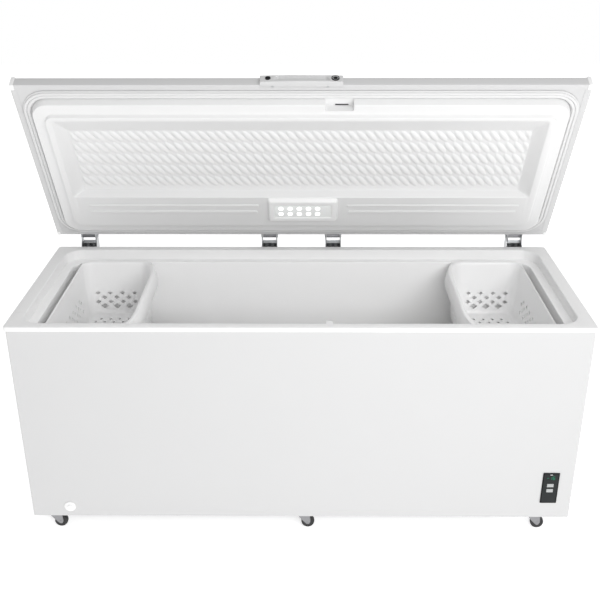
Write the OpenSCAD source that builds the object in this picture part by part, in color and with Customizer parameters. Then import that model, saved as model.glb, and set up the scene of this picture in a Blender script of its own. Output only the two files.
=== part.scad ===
// Chest freezer with a lid held open on four spring hinges, two hanging baskets and six casters.
// Origin: on the floor under the centre of the bounding box; +X right, +Y to the back, +Z up.

/* [Cabinet] */
// Width over the rim trim
rim_w = 1860; // [1400:10:2000]
// Depth over the rim trim
rim_d = 700; // [600:5:820]
// Height from the cabinet's underside to the top of the rim
body_h = 730; // [640:5:900]
// Height of the cabinet's underside above the top of the caster wheels
caster_over = 16; // [15:1:30]
// Overhang of the rim trim past the painted body
rim_over = 5; // [3:0.5:8]
// Thickness of the painted steel sheets
skin_t = 0.8; // [0.5:0.1:1.2]
// Thickness of the plastic liners
liner_t = 1.5; // [1:0.1:2.5]
// Insulation under the food compartment's floor and around the machine compartment
floor_wall = 60; // [45:1:80]

/* [Rim] */
// Thickness of the rim trim's top
rim_t = 3; // [2:0.5:5]
// Thickness of the rim trim's inner wall
rim_wall_t = 2; // [1.5:0.5:3]
// Height of the rim trim's outer lip
rim_lip_h = 15; // [10:1:25]
// Flat width of the rim along the front
rim_front_w = 33; // [28:1:45]
// Flat width of the rim along the back
rim_rear_w = 37; // [30:1:48]
// Flat width of the rim along the sides
rim_side_w = 45; // [38:1:48]
// Depth of the basket ledge below the rim's top
rim_drop = 37; // [30:1:50]
// Width of the basket ledge
ledge_w = 31; // [24:1:40]
// Corner radius of the opening at the rim
mouth_r = 65; // [50:1:80]
// Corner radius of the food compartment below the ledge
tub_r = 60; // [40:1:80]
// Seam of the front corner trims, from the cabinet's side
seam_front = 116; // [90:1:150]
// Seam of the rear corner trims, from the cabinet's side
seam_rear = 81; // [70:1:140]
// Seam of every corner trim along the side
seam_side = 110; // [90:1:150]

/* [Machine compartment] */
// Length of the step over the machine compartment
step_len = 270; // [200:5:340]
// Height of the step above the food compartment's floor
step_h = 230; // [180:5:300]
// Distance of the compressor's centre from the cabinet's right side
machine_side = 131; // [110:1:200]
// Width of the compressor tray
tray_w = 211; // [190:1:240]
// Drop of the compressor tray below the cabinet's underside
tray_drop = 11; // [6:1:14]

/* [Lid] */
// Depth of the lid
lid_d = 707; // [600:1:830]
// Height of the lid's edge
lid_edge_h = 40; // [32:1:60]
// Rise of the lid's crown above its edge
lid_crown = 10; // [4:1:16]
// Gap between the rim and the lid's inner flange, filled by the gasket
gasket_h = 12; // [8:0.5:16]
// Width of the lid's folded steel flange
flange_w = 20; // [14:1:24]
// Distance of the lid's plug from its edge
plug_in = 50; // [46:1:60]
// Depth of the plug's first step
plug_h1 = 31; // [20:1:36]
// Depth of the plug's second step
plug_h2 = 45; // [38:1:50]
// Depth of the plug's recessed panel
panel_h = 8; // [4:1:16]
// Angle of the lid at rest, from closed
lid_open = 62.5; // [0:0.5:80]

/* [Handle and lock] */
// Width of the handle
handle_w = 266; // [200:1:320]
// Reach of the handle in front of the lid
handle_p = 15; // [10:0.5:20]
// Half width of the finger scoop
scoop_hw = 82; // [50:1:100]
// Depth of the finger scoop
scoop_d = 9; // [6:0.5:14]
// Lock axis, to the right of the centre
lock_x = 112; // [95:1:120]
// Lock axis, above the lid's flange
lock_up = 17; // [14:1:24]
// Radius of the lock cylinder
lock_r = 11; // [8:0.5:12]

/* [Hinges] */
// Distance of the outer hinges from the cabinet's sides
hinge_side = 115; // [70:1:300]
// Distance of the inner hinges from the centre
hinge_x_inner = 122; // [60:1:300]
// Half width of a hinge body
hinge_hw = 30; // [26:1:36]
// Hinge pivot behind the rim's back edge
pivot_back = 32; // [30:0.5:40]
// Hinge pivot above the rim's top
pivot_up = 32; // [28:0.5:40]
// Length of a hinge body below the rim's top
hinge_len = 200; // [160:5:260]
// Radius of a hinge pin
pin_r = 4; // [3:0.5:5]
// Largest reach of the cam, with the lid closed
cam_r = 28; // [24:0.5:29]
// Travel of the cam for each degree that the lid turns
cam_rate = 0.2; // [0.12:0.01:0.24]
// Radius of a hinge spring
spring_r = 10; // [7:0.5:11]

/* [Casters] */
// Distance of the left casters from the cabinet's left side
caster_side_left = 69; // [60:1:200]
// Distance of the right casters from the cabinet's right side
caster_side_right = 126; // [90:1:240]
// Distance of the middle casters to the right of the centre
caster_x_mid = 4; // [-40:1:40]
// Distance of the front casters from the front of the rim
caster_in_front = 33; // [30:1:80]
// Distance of the rear casters from the back of the rim
caster_in_rear = 50; // [50:1:90]
// Radius of a caster wheel
wheel_r = 23; // [20:0.5:25]
// Half width of a caster wheel
wheel_hw = 9; // [7:0.5:11]
// Trail of a wheel behind its swivel
trail = 22; // [16:1:26]

/* [Controls and drain] */
// Distance of the control panel's centre from the cabinet's right side
panel_side = 83; // [50:1:150]
// Bottom of the control panel above the cabinet's underside
panel_up = 61; // [40:1:90]
// Width of the control panel
panel_w = 56; // [50:1:70]
// Height of the control panel
panel_tall = 123; // [110:1:140]
// Distance of the drain from the cabinet's left side
drain_side = 136; // [120:1:300]
// Height of the drain above the cabinet's underside
drain_up = 39; // [32:1:44]
// Radius of the drain's bore
drain_r = 5; // [4:0.5:6]

/* [Baskets] */
// Width of a basket at the top
basket_w = 294; // [220:1:320]
// Height of a basket
basket_h = 208; // [170:1:270]
// Thickness of a basket's wall
basket_t = 2.5; // [2:0.5:4]
// Taper of a basket on each side, from top to bottom
basket_taper = 16; // [10:1:40]
// Distance of a basket's outer side from the food compartment's side wall
basket_gap = 29; // [4:1:60]
// Reach of a basket's band past its wall, towards the cabinet's centre
band_out = 22; // [12:1:30]
// Height of a basket's band
band_h = 82; // [40:1:110]

/* [Hidden] */
$fn = 64;
eps = 1;            // overrun of a cut past a face
run = 0.05;         // radial clearance of a running fit
gap = 0.5;          // clearance between moving pieces

// Cabinet planes
ear_back = 10;                                   // hinge ear behind its pivot
hinge_reach = pivot_back + ear_back;
yf = -(rim_d + hinge_reach) / 2;                 // front of the rim
yb = yf + rim_d;                                 // back of the rim
zb = 2 * wheel_r + caster_over;                  // underside of the cabinet
zt = zb + body_h;                                // top of the rim
bx = rim_w / 2 - rim_over;                       // side of the painted body
by0 = yf + rim_over;                             // front of the painted body
by1 = yb - rim_over;                             // back of the painted body
body_r = 5;                                      // vertical edge radius of the painted body
z_sheet = zt - rim_t;                            // top of the painted sheets
// Mouth and food compartment
mx = rim_w / 2 - rim_side_w;
my0 = yf + rim_front_w;
my1 = yb - rim_rear_w;
z_ledge = zt - rim_drop;
tx = mx - ledge_w;
ty0 = my0 + ledge_w;
ty1 = my1 - ledge_w;
z_floor = zb + floor_wall;
step_x = tx - step_len;
z_step = z_floor + step_h;
// Machine compartment
machine_x = rim_w / 2 - machine_side;
room_x = step_x + floor_wall;
room_z = z_step - floor_wall;
tray_z = zb - tray_drop;
tray_t = 1.5;
tray_y0 = yf + 85;
tray_y1 = yb - 105;
tray_lip = 12;
grille_y = [by1 - 338, by1 - 82];
grille_z = [zb + 22, zb + 198];
grille_lap = 8;                                  // overlap of the grille past its hole
grille_t = 2;
gland_x = room_x + 115;
gland_z = zb + 90;
gland_r = 9;
gland_bore = 4.2;
comp_y = (tray_y0 + tray_y1) / 2 + 90;
comp_r = 76;
foot_h = 12;
grommet_r = 8;
// Lid planes, with the lid closed
z_fl = zt + gasket_h;                            // lid flange
lf = yf - (lid_d - rim_d) / 2;                   // front of the lid
lr = lf + lid_d;                                 // back of the lid
lhx = rim_w / 2;
z_lid = z_fl + lid_edge_h;
lid_bevel = 6;
crown_in = 120;
step1_in = plug_in + 8;
step2_in = plug_in + 44;
top2_in = plug_in + 47.5;
slope_in = plug_in + 59;
panel_in = plug_in + 125;
plateau_rear = 251;                              // rear edge of the lid to the recessed panel
plug_r = 60;
notch_x0 = 76;                                   // notch of the plug around the strike
notch_x1 = 176;
notch_s1 = 92;
// Lock
lock_z = z_fl + lock_up;
lever_hw = 6;
lever_t = 4;
lever_len = gasket_h + lock_up + 14;
tooth_len = 14;
cam_s = 51;                                      // front of the lever, from the lid's front
lock_rod_r = 5;
blind_x = -lock_x + 8;                           // blind plug, at the handle's other end
blind_r = 8.5;
handle_screw_x = 88;
handle_tab_t = 2;
// Hinges
py = yb + pivot_back;
pz = zt + pivot_up;
hinge_x_outer = rim_w / 2 - hinge_side;
hinge_x = [-hinge_x_outer, -hinge_x_inner, hinge_x_inner, hinge_x_outer];
hinge_t = 2;
cheek_out = hinge_hw - hinge_t - gap;
roller_r = 3;
roller_gap = 4.6;                                // cam to the roller's centre, straight down
follower_t = 6;
z_roller = pz - (cam_r - cam_rate * lid_open) - roller_gap;
z_follower = z_roller - roller_r + 1 - follower_t;
z_seat = zt - hinge_len + 3;
screw_r = 2.4;
screw_dx = 18;
screw_z = [zt - 55, zt - 145];
// Casters
caster_xy = [for (y = [yf + caster_in_front, yb - caster_in_rear])
             for (x = [-rim_w / 2 + caster_side_left, caster_x_mid, rim_w / 2 - caster_side_right]) [x, y]];
// Controls
panel_x = rim_w / 2 - panel_side;
panel_z = zb + panel_up;
panel_proud = 2.5;
panel_deep = 14;
panel_wall = 2;
panel_y = by0 - panel_proud;
button_w = 22;
button_h = 13;
button_proud = 1.5;
button_z = [panel_z + 73, panel_z + 52];
display_w = 40;
display_h = 26;
display_z = panel_z + 103;
// Drain
drain_x = rim_w / 2 - drain_side;
drain_z = zb + drain_up;
drain_wall = 2.5;
drain_y = ty0 + 70;
cup_r = 10;
cup_z = drain_z - drain_r - drain_wall - 3;      // underside of the drain's cup
// Lamp
lamp_x = 6;                                      // centre of the lamp
lamp_hw = 120;
lamp_s0 = lid_d - 242;
lamp_s1 = lid_d - 130;
lamp_h = 14;
lamp_wall = 3;
lens_hw = 96;
lens_margin = 24;
// Baskets
hook_over = 22;                                  // reach of a basket's flange over the ledge
hook_t = 2.2;
basket_z1 = z_ledge + 0.3 + hook_t;              // top of a basket
basket_y0 = ty0 + 3;
basket_y1 = ty1 - 3;
basket_r = 45;
vent_x = 117;                                    // centre of the holes, from the basket's outer side
vent_pitch = 47;
vent_drop = 123.5;                               // first row of holes in the end walls
vent_row = 17.7;
vent_w = [15, 18, 17, 27];
vent_h = [10, 14, 13, 20];
side_vent_drop = 97.5;                           // first row of holes in the side walls
side_vent_pitch = 45.5;
side_vent_w = 11;
side_vent_h = 15;
floor_vent_pitch = [35, 26.5];
floor_vent = [10, 12];

// ---------- helpers ----------
module box(x0, x1, y0, y1, z0, z1) {
    translate([x0, y0, z0]) cube([x1 - x0, y1 - y0, z1 - z0]);
}
module rounded(x0, x1, y0, y1, r) {
    translate([x0 + r, y0]) square([x1 - x0 - 2 * r, y1 - y0]);
    translate([x0, y0 + r]) square([x1 - x0, y1 - y0 - 2 * r]);
    for (x = [x0 + r, x1 - r]) for (y = [y0 + r, y1 - r]) translate([x, y]) circle(r = r);
}
module rbox(x0, x1, y0, y1, z0, z1, r) {
    translate([0, 0, z0]) linear_extrude(z1 - z0) rounded(x0, x1, y0, y1, r);
}
// outline of [y, z] points carried along X
module along_x(x0, x1, points) {
    translate([x0, 0, 0]) rotate([90, 0, 90]) linear_extrude(x1 - x0) polygon(points);
}
// outline of [x, z] points carried along Y
module along_y(y0, y1, points) {
    translate([0, y1, 0]) rotate([90, 0, 0]) linear_extrude(y1 - y0) polygon(points);
}
module rod_x(x0, x1, y, z, r) {
    translate([x0, y, z]) rotate([0, 90, 0]) cylinder(r = r, h = x1 - x0);
}
module rod_y(x, y0, y1, z, r) {
    translate([x, y0, z]) rotate([-90, 0, 0]) cylinder(r = r, h = y1 - y0);
}
// carries what is modelled with the lid closed to the lid's rest angle
module on_lid() {
    translate([0, py, pz]) rotate([-lid_open, 0, 0]) translate([0, -py, -pz]) children();
}

// ---------- cabinet shell ----------
module control_hole(g = 0) {
    box(panel_x - panel_w / 2 + panel_wall - g, panel_x + panel_w / 2 - panel_wall + g,
        by0 - eps, by0 + panel_deep, panel_z + panel_wall - g, panel_z + panel_tall - panel_wall + g);
}
module grille_hole() {
    box(bx - 2 * skin_t - eps, bx + eps, grille_y[0] + grille_lap, grille_y[1] - grille_lap,
        grille_z[0] + grille_lap, grille_z[1] - grille_lap);
}
module hinge_screw_shafts() {
    for (x = hinge_x) for (dx = [-screw_dx, screw_dx]) for (z = screw_z)
        rod_y(x + dx, by1 - 10, by1 + hinge_t, z, screw_r);
}
module outer_wrapper() {
    color("white") difference() {
        rbox(-bx, bx, by0, by1 + body_r, zb, z_sheet, body_r);
        rbox(-bx + skin_t, bx - skin_t, by0 + skin_t, by1 + 2 * body_r, zb - eps, z_sheet + eps,
             body_r - skin_t);
        box(-bx - eps, bx + eps, by1, by1 + 3 * body_r, zb - eps, z_sheet + eps);
        control_hole();
        grille_hole();
        rod_y(-drain_x, by0 - eps, by0 + 5, drain_z, drain_r + drain_wall + run);
    }
}
module back_panel() {
    color("white") difference() {
        box(-bx + skin_t, bx - skin_t, by1 - skin_t, by1, zb + skin_t, z_sheet);
        hinge_screw_shafts();
        rod_y(gland_x, by1 - 5, by1 + eps, gland_z, gland_r + run);
    }
}
module bottom_panel() {
    color("lightgrey") difference() {
        rbox(-bx + skin_t, bx - skin_t, by0 + skin_t, by1 + body_r, zb, zb + skin_t, body_r - skin_t);
        box(-bx, bx, by1, by1 + 2 * body_r, zb - eps, zb + 5);
        box(machine_x - tray_w / 2 + tray_lip, machine_x + tray_w / 2 - tray_lip,
            tray_y0 + tray_lip, tray_y1 - tray_lip, zb - eps, zb + 5);
    }
}
// food compartment, grown by g on every side
module tub(g = 0) {
    difference() {
        rbox(-tx - g, tx + g, ty0 - g, ty1 + g, z_floor - g, z_ledge + eps, tub_r + g);
        box(step_x + g, tx + 50, ty0 - 50, ty1 + 50, z_floor - 50, z_step - g);
    }
}
module inner_liner() {
    color("white") difference() {
        union() {
            intersection() {
                tub(liner_t);
                box(-rim_w, rim_w, -rim_d, rim_d, 0, z_ledge);
            }
            rbox(-mx - rim_wall_t, mx + rim_wall_t, my0 - rim_wall_t, my1 + rim_wall_t,
                 z_ledge - liner_t, z_ledge, mouth_r + rim_wall_t);
        }
        tub();
        translate([-drain_x, drain_y, z_floor - 5]) cylinder(r = cup_r, h = 10);
    }
}
module cabinet_foam() {
    color("khaki") difference() {
        rbox(-bx + skin_t, bx - skin_t, by0 + skin_t, by1 - skin_t, zb + skin_t, z_sheet,
             body_r - skin_t);
        rbox(-mx - rim_wall_t, mx + rim_wall_t, my0 - rim_wall_t, my1 + rim_wall_t,
             z_ledge - liner_t, zt, mouth_r + rim_wall_t);
        tub(liner_t);
        box(room_x, bx, by0, by1, zb, room_z);
        evaporator_space();
        condenser_space();
        hinge_screw_shafts();
        drain_space();
    }
}

// ---------- rim trim ----------
module rim_frame() {
    difference() {
        rbox(-rim_w / 2, rim_w / 2, yf, yb, z_ledge, zt, body_r + rim_over);
        rbox(-mx, mx, my0, my1, z_ledge - eps, zt + eps, mouth_r);
        // hollow underneath, over the foam and the sheets
        difference() {
            union() {
                rbox(-bx, bx, by0, by1, z_ledge - eps, z_sheet, body_r);
                box(-bx, bx, 0, by1, z_ledge - eps, z_sheet);
            }
            rbox(-mx - rim_wall_t, mx + rim_wall_t, my0 - rim_wall_t, my1 + rim_wall_t,
                 z_ledge - 2 * eps, zt, mouth_r + rim_wall_t);
        }
        // the outer lip is shorter than the inner wall
        difference() {
            box(-rim_w, rim_w, -rim_d, rim_d, z_ledge - eps, zt - rim_lip_h);
            rbox(-bx, bx, by0, by1, z_ledge - 2 * eps, zt, body_r);
        }
    }
}
// the piece of the rim's frame inside a box
module rim_piece(x0, x1, y0, y1) {
    color("whitesmoke") intersection() {
        rim_frame();
        box(x0, x1, y0, y1, z_ledge - eps, zt + eps);
    }
}
module rim_front() { rim_piece(-rim_w / 2 + seam_front, rim_w / 2 - seam_front, yf - eps, 0); }
module rim_rear() { rim_piece(-rim_w / 2 + seam_rear, rim_w / 2 - seam_rear, 0, yb + eps); }
module rim_left() { rim_piece(-rim_w / 2 - eps, 0, yf + seam_side, yb - seam_side); }
module rim_right() { rim_piece(0, rim_w / 2 + eps, yf + seam_side, yb - seam_side); }
module rim_corners() {
    for (s = [-1, 1]) {
        x_front = s * (rim_w / 2 - seam_front);
        x_rear = s * (rim_w / 2 - seam_rear);
        far = s * (rim_w / 2 + eps);
        rim_piece(min(x_front, far), max(x_front, far), yf - eps, yf + seam_side);
        rim_piece(min(x_rear, far), max(x_rear, far), yb - seam_side, yb + eps);
    }
}
module lock_strike() {
    color("white") union() {
        box(lock_x - 28, lock_x + 28, my0, my0 + 2, zt - 24, zt - 2);
        box(lock_x - 28, lock_x - lever_hw - 2, my0, my0 + 24, zt - 7, zt - 4);
    }
}

// ---------- drain ----------
module drain_space() {
    rod_y(-drain_x, by0, drain_y, drain_z, drain_r + drain_wall);
    translate([-drain_x, drain_y, cup_z]) cylinder(r = cup_r + drain_wall, h = z_floor - cup_z);
}
module drain_tube() {
    color("gainsboro") difference() {
        union() {
            rod_y(-drain_x, by0 - 2, drain_y, drain_z, drain_r + drain_wall);
            translate([-drain_x, drain_y, cup_z])
                cylinder(r = cup_r + drain_wall, h = z_floor - liner_t - cup_z);
        }
        rod_y(-drain_x, by0 - 5, drain_y, drain_z, drain_r);
        translate([-drain_x, drain_y, cup_z + drain_wall]) cylinder(r = cup_r, h = 100);
    }
}
module drain_escutcheon() {
    bore = drain_r + drain_wall;
    color("white") translate([-drain_x, by0, drain_z]) rotate([90, 0, 0]) rotate_extrude()
        polygon([[bore, 0], [20, 0], [20, 1.5], [17, 3.5], [bore, 3.5]]);
}
module drain_plug() {
    color("white") translate([-drain_x, drain_y, z_floor]) rotate_extrude()
        polygon([[0, -10], [cup_r - 1.5, -10], [cup_r - run, -8], [cup_r - run, 0.1], [17, 0.1],
                 [17, 3], [5, 4], [5, 12], [0, 12]]);
}

// ---------- refrigeration ----------
evap_r = 4;
evap_n = 4;
evap_pitch = 78;
evap_z = z_ledge - 40 - (evap_n - 1) * evap_pitch;
evap_off = liner_t + evap_r + 0.2;
module evaporator_space() {
    for (i = [0 : evap_n - 1]) difference() {
        rbox(-tx - evap_off - evap_r - 1, tx + evap_off + evap_r + 1,
             ty0 - evap_off - evap_r - 1, ty1 + evap_off + evap_r + 1,
             evap_z + i * evap_pitch - evap_r - 1, evap_z + i * evap_pitch + evap_r + 1,
             tub_r + evap_off + evap_r + 1);
        rbox(-tx, tx, ty0, ty1, 0, zt, tub_r);
    }
    box(-evap_r - 1, evap_r + 1, ty1, ty1 + evap_off + evap_r + 1,
        evap_z, evap_z + (evap_n - 1) * evap_pitch);
}
module evaporator_loop(z) {
    ex = tx + evap_off;
    ey0 = ty0 - evap_off;
    ey1 = ty1 + evap_off;
    er = tub_r + evap_off;
    for (y = [ey0, ey1]) rod_x(-ex + er, ex - er, y, z, evap_r);
    for (x = [-ex, ex]) rod_y(x, ey0 + er, ey1 - er, z, evap_r);
    for (c = [[ex - er, ey1 - er, 0], [-ex + er, ey1 - er, 90], [-ex + er, ey0 + er, 180],
              [ex - er, ey0 + er, 270]])
        translate([c[0], c[1], z]) rotate([0, 0, c[2]])
            rotate_extrude(angle = 90) translate([er, 0]) circle(r = evap_r);
}
module evaporator_coil() {
    color("orange") union() {
        for (i = [0 : evap_n - 1]) evaporator_loop(evap_z + i * evap_pitch);
        translate([0, ty1 + evap_off, evap_z]) cylinder(r = evap_r - 0.5, h = (evap_n - 1) * evap_pitch);
    }
}
cond_r = 3;
cond_n = 6;
cond_pitch = (zt - 290 - zb) / cond_n;
cond_z = zb + 100;
cond_x = bx - 225;
cond_y = by1 - skin_t - cond_r - 0.6;
module condenser_space() {
    box(-cond_x - cond_pitch, cond_x + cond_pitch, cond_y - cond_r - 2, by1,
        cond_z - 20, cond_z + (cond_n - 1) * cond_pitch + 12);
}
module condenser_coil() {
    color("black") union() {
        for (i = [0 : cond_n - 1]) rod_x(-cond_x, cond_x, cond_y, cond_z + i * cond_pitch, cond_r);
        for (i = [0 : cond_n - 2])
            translate([(i % 2 == 0 ? 1 : -1) * (cond_x - cond_r), cond_y, cond_z + i * cond_pitch])
                cylinder(r = cond_r - 0.4, h = cond_pitch);
    }
}
module grommet_places() {
    for (dx = [-75, 75]) for (dy = [-95, 95])
        translate([machine_x + dx, comp_y + dy, tray_z + tray_t]) children();
}
module compressor() {
    color("black") difference() {
        union() {
            translate([machine_x, comp_y, tray_z + tray_t + foot_h + 2]) rotate_extrude()
                polygon([[0, 0], [50, 0], [comp_r - 6, 14], [comp_r, 26], [comp_r, 96], [comp_r - 8, 124],
                         [44, 146], [0, 152]]);
            box(machine_x - 88, machine_x + 88, comp_y - 108, comp_y + 108,
                tray_z + tray_t + foot_h, tray_z + tray_t + foot_h + 3);
        }
        grommet_places() cylinder(r = grommet_r + run, h = 40);
    }
}
module compressor_grommets() {
    color("dimgray") grommet_places() rotate_extrude()
        polygon([[4, 0], [12, 0], [12, foot_h], [grommet_r, foot_h], [grommet_r, foot_h + 3],
                 [11, foot_h + 3], [11, foot_h + 7], [4, foot_h + 7]]);
}
module compressor_tray() {
    x0 = machine_x - tray_w / 2;
    x1 = machine_x + tray_w / 2;
    color("silver") union() {
        difference() {
            box(x0, x1, tray_y0, tray_y1, tray_z, zb);
            box(x0 + tray_t, x1 - tray_t, tray_y0 + tray_t, tray_y1 - tray_t, tray_z + tray_t, zb + eps);
        }
        grommet_places() translate([0, 0, -0.1]) cylinder(r = 4, h = foot_h + 12);
    }
}
module cable_gland() {
    color("dimgray") translate([gland_x, by1, gland_z]) rotate([-90, 0, 0]) rotate_extrude()
        polygon([[gland_bore, -12], [gland_r, -12], [gland_r, 0], [gland_r + 5, 0], [gland_r + 5, 3],
                 [gland_r, 8], [gland_bore, 8]]);
}
module side_grille() {
    slot_pitch = 15;
    slot_h = 7;
    color("white") difference() {
        box(bx, bx + grille_t, grille_y[0], grille_y[1], grille_z[0], grille_z[1]);
        for (i = [0 : 9])
            box(bx - eps, bx + grille_t + eps, grille_y[0] + 22, grille_y[1] - 22,
                grille_z[0] + 16 + i * slot_pitch, grille_z[0] + 16 + i * slot_pitch + slot_h);
    }
}

// ---------- controls ----------
module control_bezel() {
    x0 = panel_x - panel_w / 2;
    x1 = panel_x + panel_w / 2;
    z1 = panel_z + panel_tall;
    w = panel_wall;
    color("black") difference() {
        union() {
            box(x0, x1, panel_y, by0, panel_z, z1);
            control_hole();
        }
        box(x0 + 2 * w, x1 - 2 * w, by0, by0 + panel_deep + eps, panel_z + 2 * w, z1 - 2 * w);
        for (z = button_z)
            box(panel_x - button_w / 2 - gap, panel_x + button_w / 2 + gap, panel_y - eps, by0 + eps,
                z - button_h / 2 - gap, z + button_h / 2 + gap);
        box(panel_x - display_w / 2, panel_x + display_w / 2, panel_y - eps, by0 + eps,
            display_z - display_h / 2, display_z + display_h / 2);
    }
}
module control_display() {
    color("darkslategray") box(panel_x - display_w / 2, panel_x + display_w / 2, panel_y + 0.3, by0,
        display_z - display_h / 2, display_z + display_h / 2);
}
module control_board() {
    w = panel_wall;
    color("darkgreen") box(panel_x - panel_w / 2 + 2 * w, panel_x + panel_w / 2 - 2 * w,
        by0 + 8, by0 + 9.6, panel_z + 2 * w, panel_z + panel_tall - 2 * w);
}
// a key cap with a retaining flange behind the bezel's face
module button(z) {
    color("lightgray") union() {
        box(panel_x - button_w / 2, panel_x + button_w / 2, panel_y - button_proud, by0 + 1,
            z - button_h / 2, z + button_h / 2);
        box(panel_x - button_w / 2 - 2, panel_x + button_w / 2 + 2, by0 + 0.2, by0 + 2,
            z - button_h / 2 - 2, z + button_h / 2 + 2);
        rod_y(panel_x, by0 + 2, by0 + 6, z, 2);
    }
}
module upper_button() { button(button_z[0]); }
module lower_button() { button(button_z[1]); }

// ---------- hinges ----------
module hinge_body(x) {
    difference() {
        union() {
            box(x - hinge_hw, x + hinge_hw, by1, by1 + hinge_t, zt - hinge_len, zt - rim_lip_h - 1);
            for (s = [-1, 1]) {
                x0 = x + (s < 0 ? -hinge_hw : hinge_hw - hinge_t);
                along_x(x0, x0 + hinge_t,
                    [[by1, zt - hinge_len], [py + ear_back, zt - hinge_len], [py + ear_back, pz + 6],
                     [py + 5, pz + 10], [py - 5, pz + 10], [py - 10, pz + 5], [yb + 1, zt],
                     [yb + 1, zt - rim_lip_h - 1], [by1, zt - rim_lip_h - 1]]);
            }
            box(x - hinge_hw, x + hinge_hw, by1, py + ear_back, zt - hinge_len, z_seat);
        }
        rod_x(x - hinge_hw - eps, x + hinge_hw + eps, py, pz, pin_r + run);
        hinge_screw_shafts();
    }
}
module hinge_bodies() { color("gray") for (x = hinge_x) hinge_body(x); }
module hinge_screws() {
    color("silver") union() {
        hinge_screw_shafts();
        for (x = hinge_x) for (dx = [-screw_dx, screw_dx]) for (z = screw_z)
            rod_y(x + dx, by1 + hinge_t, by1 + hinge_t + 2.5, z, 4.5);
    }
}
// outline of an arm's cheek about the pivot: the leaf's end, then a cam that shrinks steadily
cheek_outline = concat(
    [[lr - py, z_fl + 4 - pz], [lr - py, z_fl + 36 - pz], [0, 10]],
    [for (a = [88 : -4 : -4]) (cam_r - cam_rate * a) * [sin(a), -cos(a)]]);
module hinge_arm(x) {
    difference() {
        union() {
            box(x - cheek_out, x + cheek_out, lr, lr + hinge_t, z_fl + 4, z_fl + 36);
            for (x0 = [x - cheek_out, x + cheek_out - hinge_t])
                translate([0, py, pz]) along_x(x0, x0 + hinge_t, cheek_outline);
        }
        rod_x(x - cheek_out - eps, x + cheek_out + eps, py, pz, pin_r);
    }
}
module hinge_arms() { color("gray") on_lid() for (x = hinge_x) hinge_arm(x); }
module hinge_pins() {
    color("silver") on_lid() for (x = hinge_x) union() {
        rod_x(x - hinge_hw - 0.3, x + hinge_hw + 0.3, py, pz, pin_r);
        rod_x(x - hinge_hw - 2.3, x - hinge_hw - 0.3, py, pz, pin_r + 2.5);
        rod_x(x + hinge_hw + 0.3, x + hinge_hw + 2.3, py, pz, pin_r + 2.5);
    }
}
spring_dx = spring_r + 1.5;
spring_wire = 2.5;
module hinge_followers() {
    color("silver") for (x = hinge_x) union() {
        box(x - cheek_out, x + cheek_out, py - 9, py + 9, z_follower, z_follower + follower_t);
        rod_x(x - cheek_out, x + cheek_out, py, z_roller, roller_r);
        for (s = [-1, 1]) translate([x + s * spring_dx, py, z_follower - 22])
            cylinder(r = spring_r - spring_wire - 1, h = 23);
    }
}
module hinge_springs() {
    color("dimgray") for (x = hinge_x) for (s = [-1, 1])
        translate([x + s * spring_dx, py, z_seat]) difference() {
            cylinder(r = spring_r, h = z_follower - z_seat);
            translate([0, 0, -eps]) cylinder(r = spring_r - spring_wire, h = z_follower - z_seat + 2 * eps);
        }
}

// ---------- casters ----------
boss_z = zb - 5;                                 // underside of a caster plate's boss
fork_t = 2.5;
fork_in = wheel_hw + gap;
axle_r = 3;
module caster_plates() {
    color("silver") for (p = caster_xy) translate([p[0], p[1], 0]) difference() {
        union() {
            box(-25, 25, -22, 22, zb - 2, zb);
            translate([0, 0, boss_z]) cylinder(r = 9, h = 4);
        }
        translate([0, 0, boss_z - eps]) cylinder(r = pin_r + run, h = 5);
    }
}
module caster_fork(p) {
    color("silver") translate([p[0], p[1], 0]) union() {
        translate([0, 0, boss_z - 4]) cylinder(r = 13, h = 3.7);
        translate([0, 0, boss_z - 1]) cylinder(r = pin_r, h = 4.7);
        box(0, trail + 6, -fork_in - fork_t, fork_in + fork_t, boss_z - 4, boss_z - 1.5);
        for (y0 = [-fork_in - fork_t, fork_in])
            along_y(y0, y0 + fork_t, [[-8, boss_z - 1.5], [-9, boss_z - 12], [trail - 7, wheel_r - 5],
                [trail + 4, wheel_r - 6], [trail + 8, wheel_r + 3], [trail + 6, boss_z - 1.5]]);
        rod_y(trail, -fork_in - fork_t, fork_in + fork_t, wheel_r, axle_r);
    }
}
module caster_wheel(p) {
    color("black") translate([p[0] + trail, p[1], wheel_r]) rotate([90, 0, 0]) rotate_extrude()
        polygon([[axle_r + run, -wheel_hw], [wheel_r - 6, -wheel_hw], [wheel_r - 2, -wheel_hw + 1],
                 [wheel_r, -wheel_hw + 4], [wheel_r, wheel_hw - 4], [wheel_r - 2, wheel_hw - 1],
                 [wheel_r - 6, wheel_hw], [axle_r + run, wheel_hw]]);
}

// ---------- lid, modelled closed ----------
// solid lid outline, shrunk by t, from height z0
function lid_profile(c0, c1, t, z0) = [
    [c0 + t, z0], [c1 - t, z0], [c1 - t, z_lid - lid_bevel], [c1 - lid_bevel, z_lid - t],
    [c1 - crown_in, z_lid + lid_crown - t], [c0 + crown_in, z_lid + lid_crown - t],
    [c0 + lid_bevel, z_lid - t], [c0 + t, z_lid - lid_bevel]];
module lid_solid(t, z0) {
    intersection() {
        along_x(-lhx, lhx, lid_profile(lf, lr, t, z0));
        along_y(lf, lr, lid_profile(-lhx, lhx, t, z0));
    }
}
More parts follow.
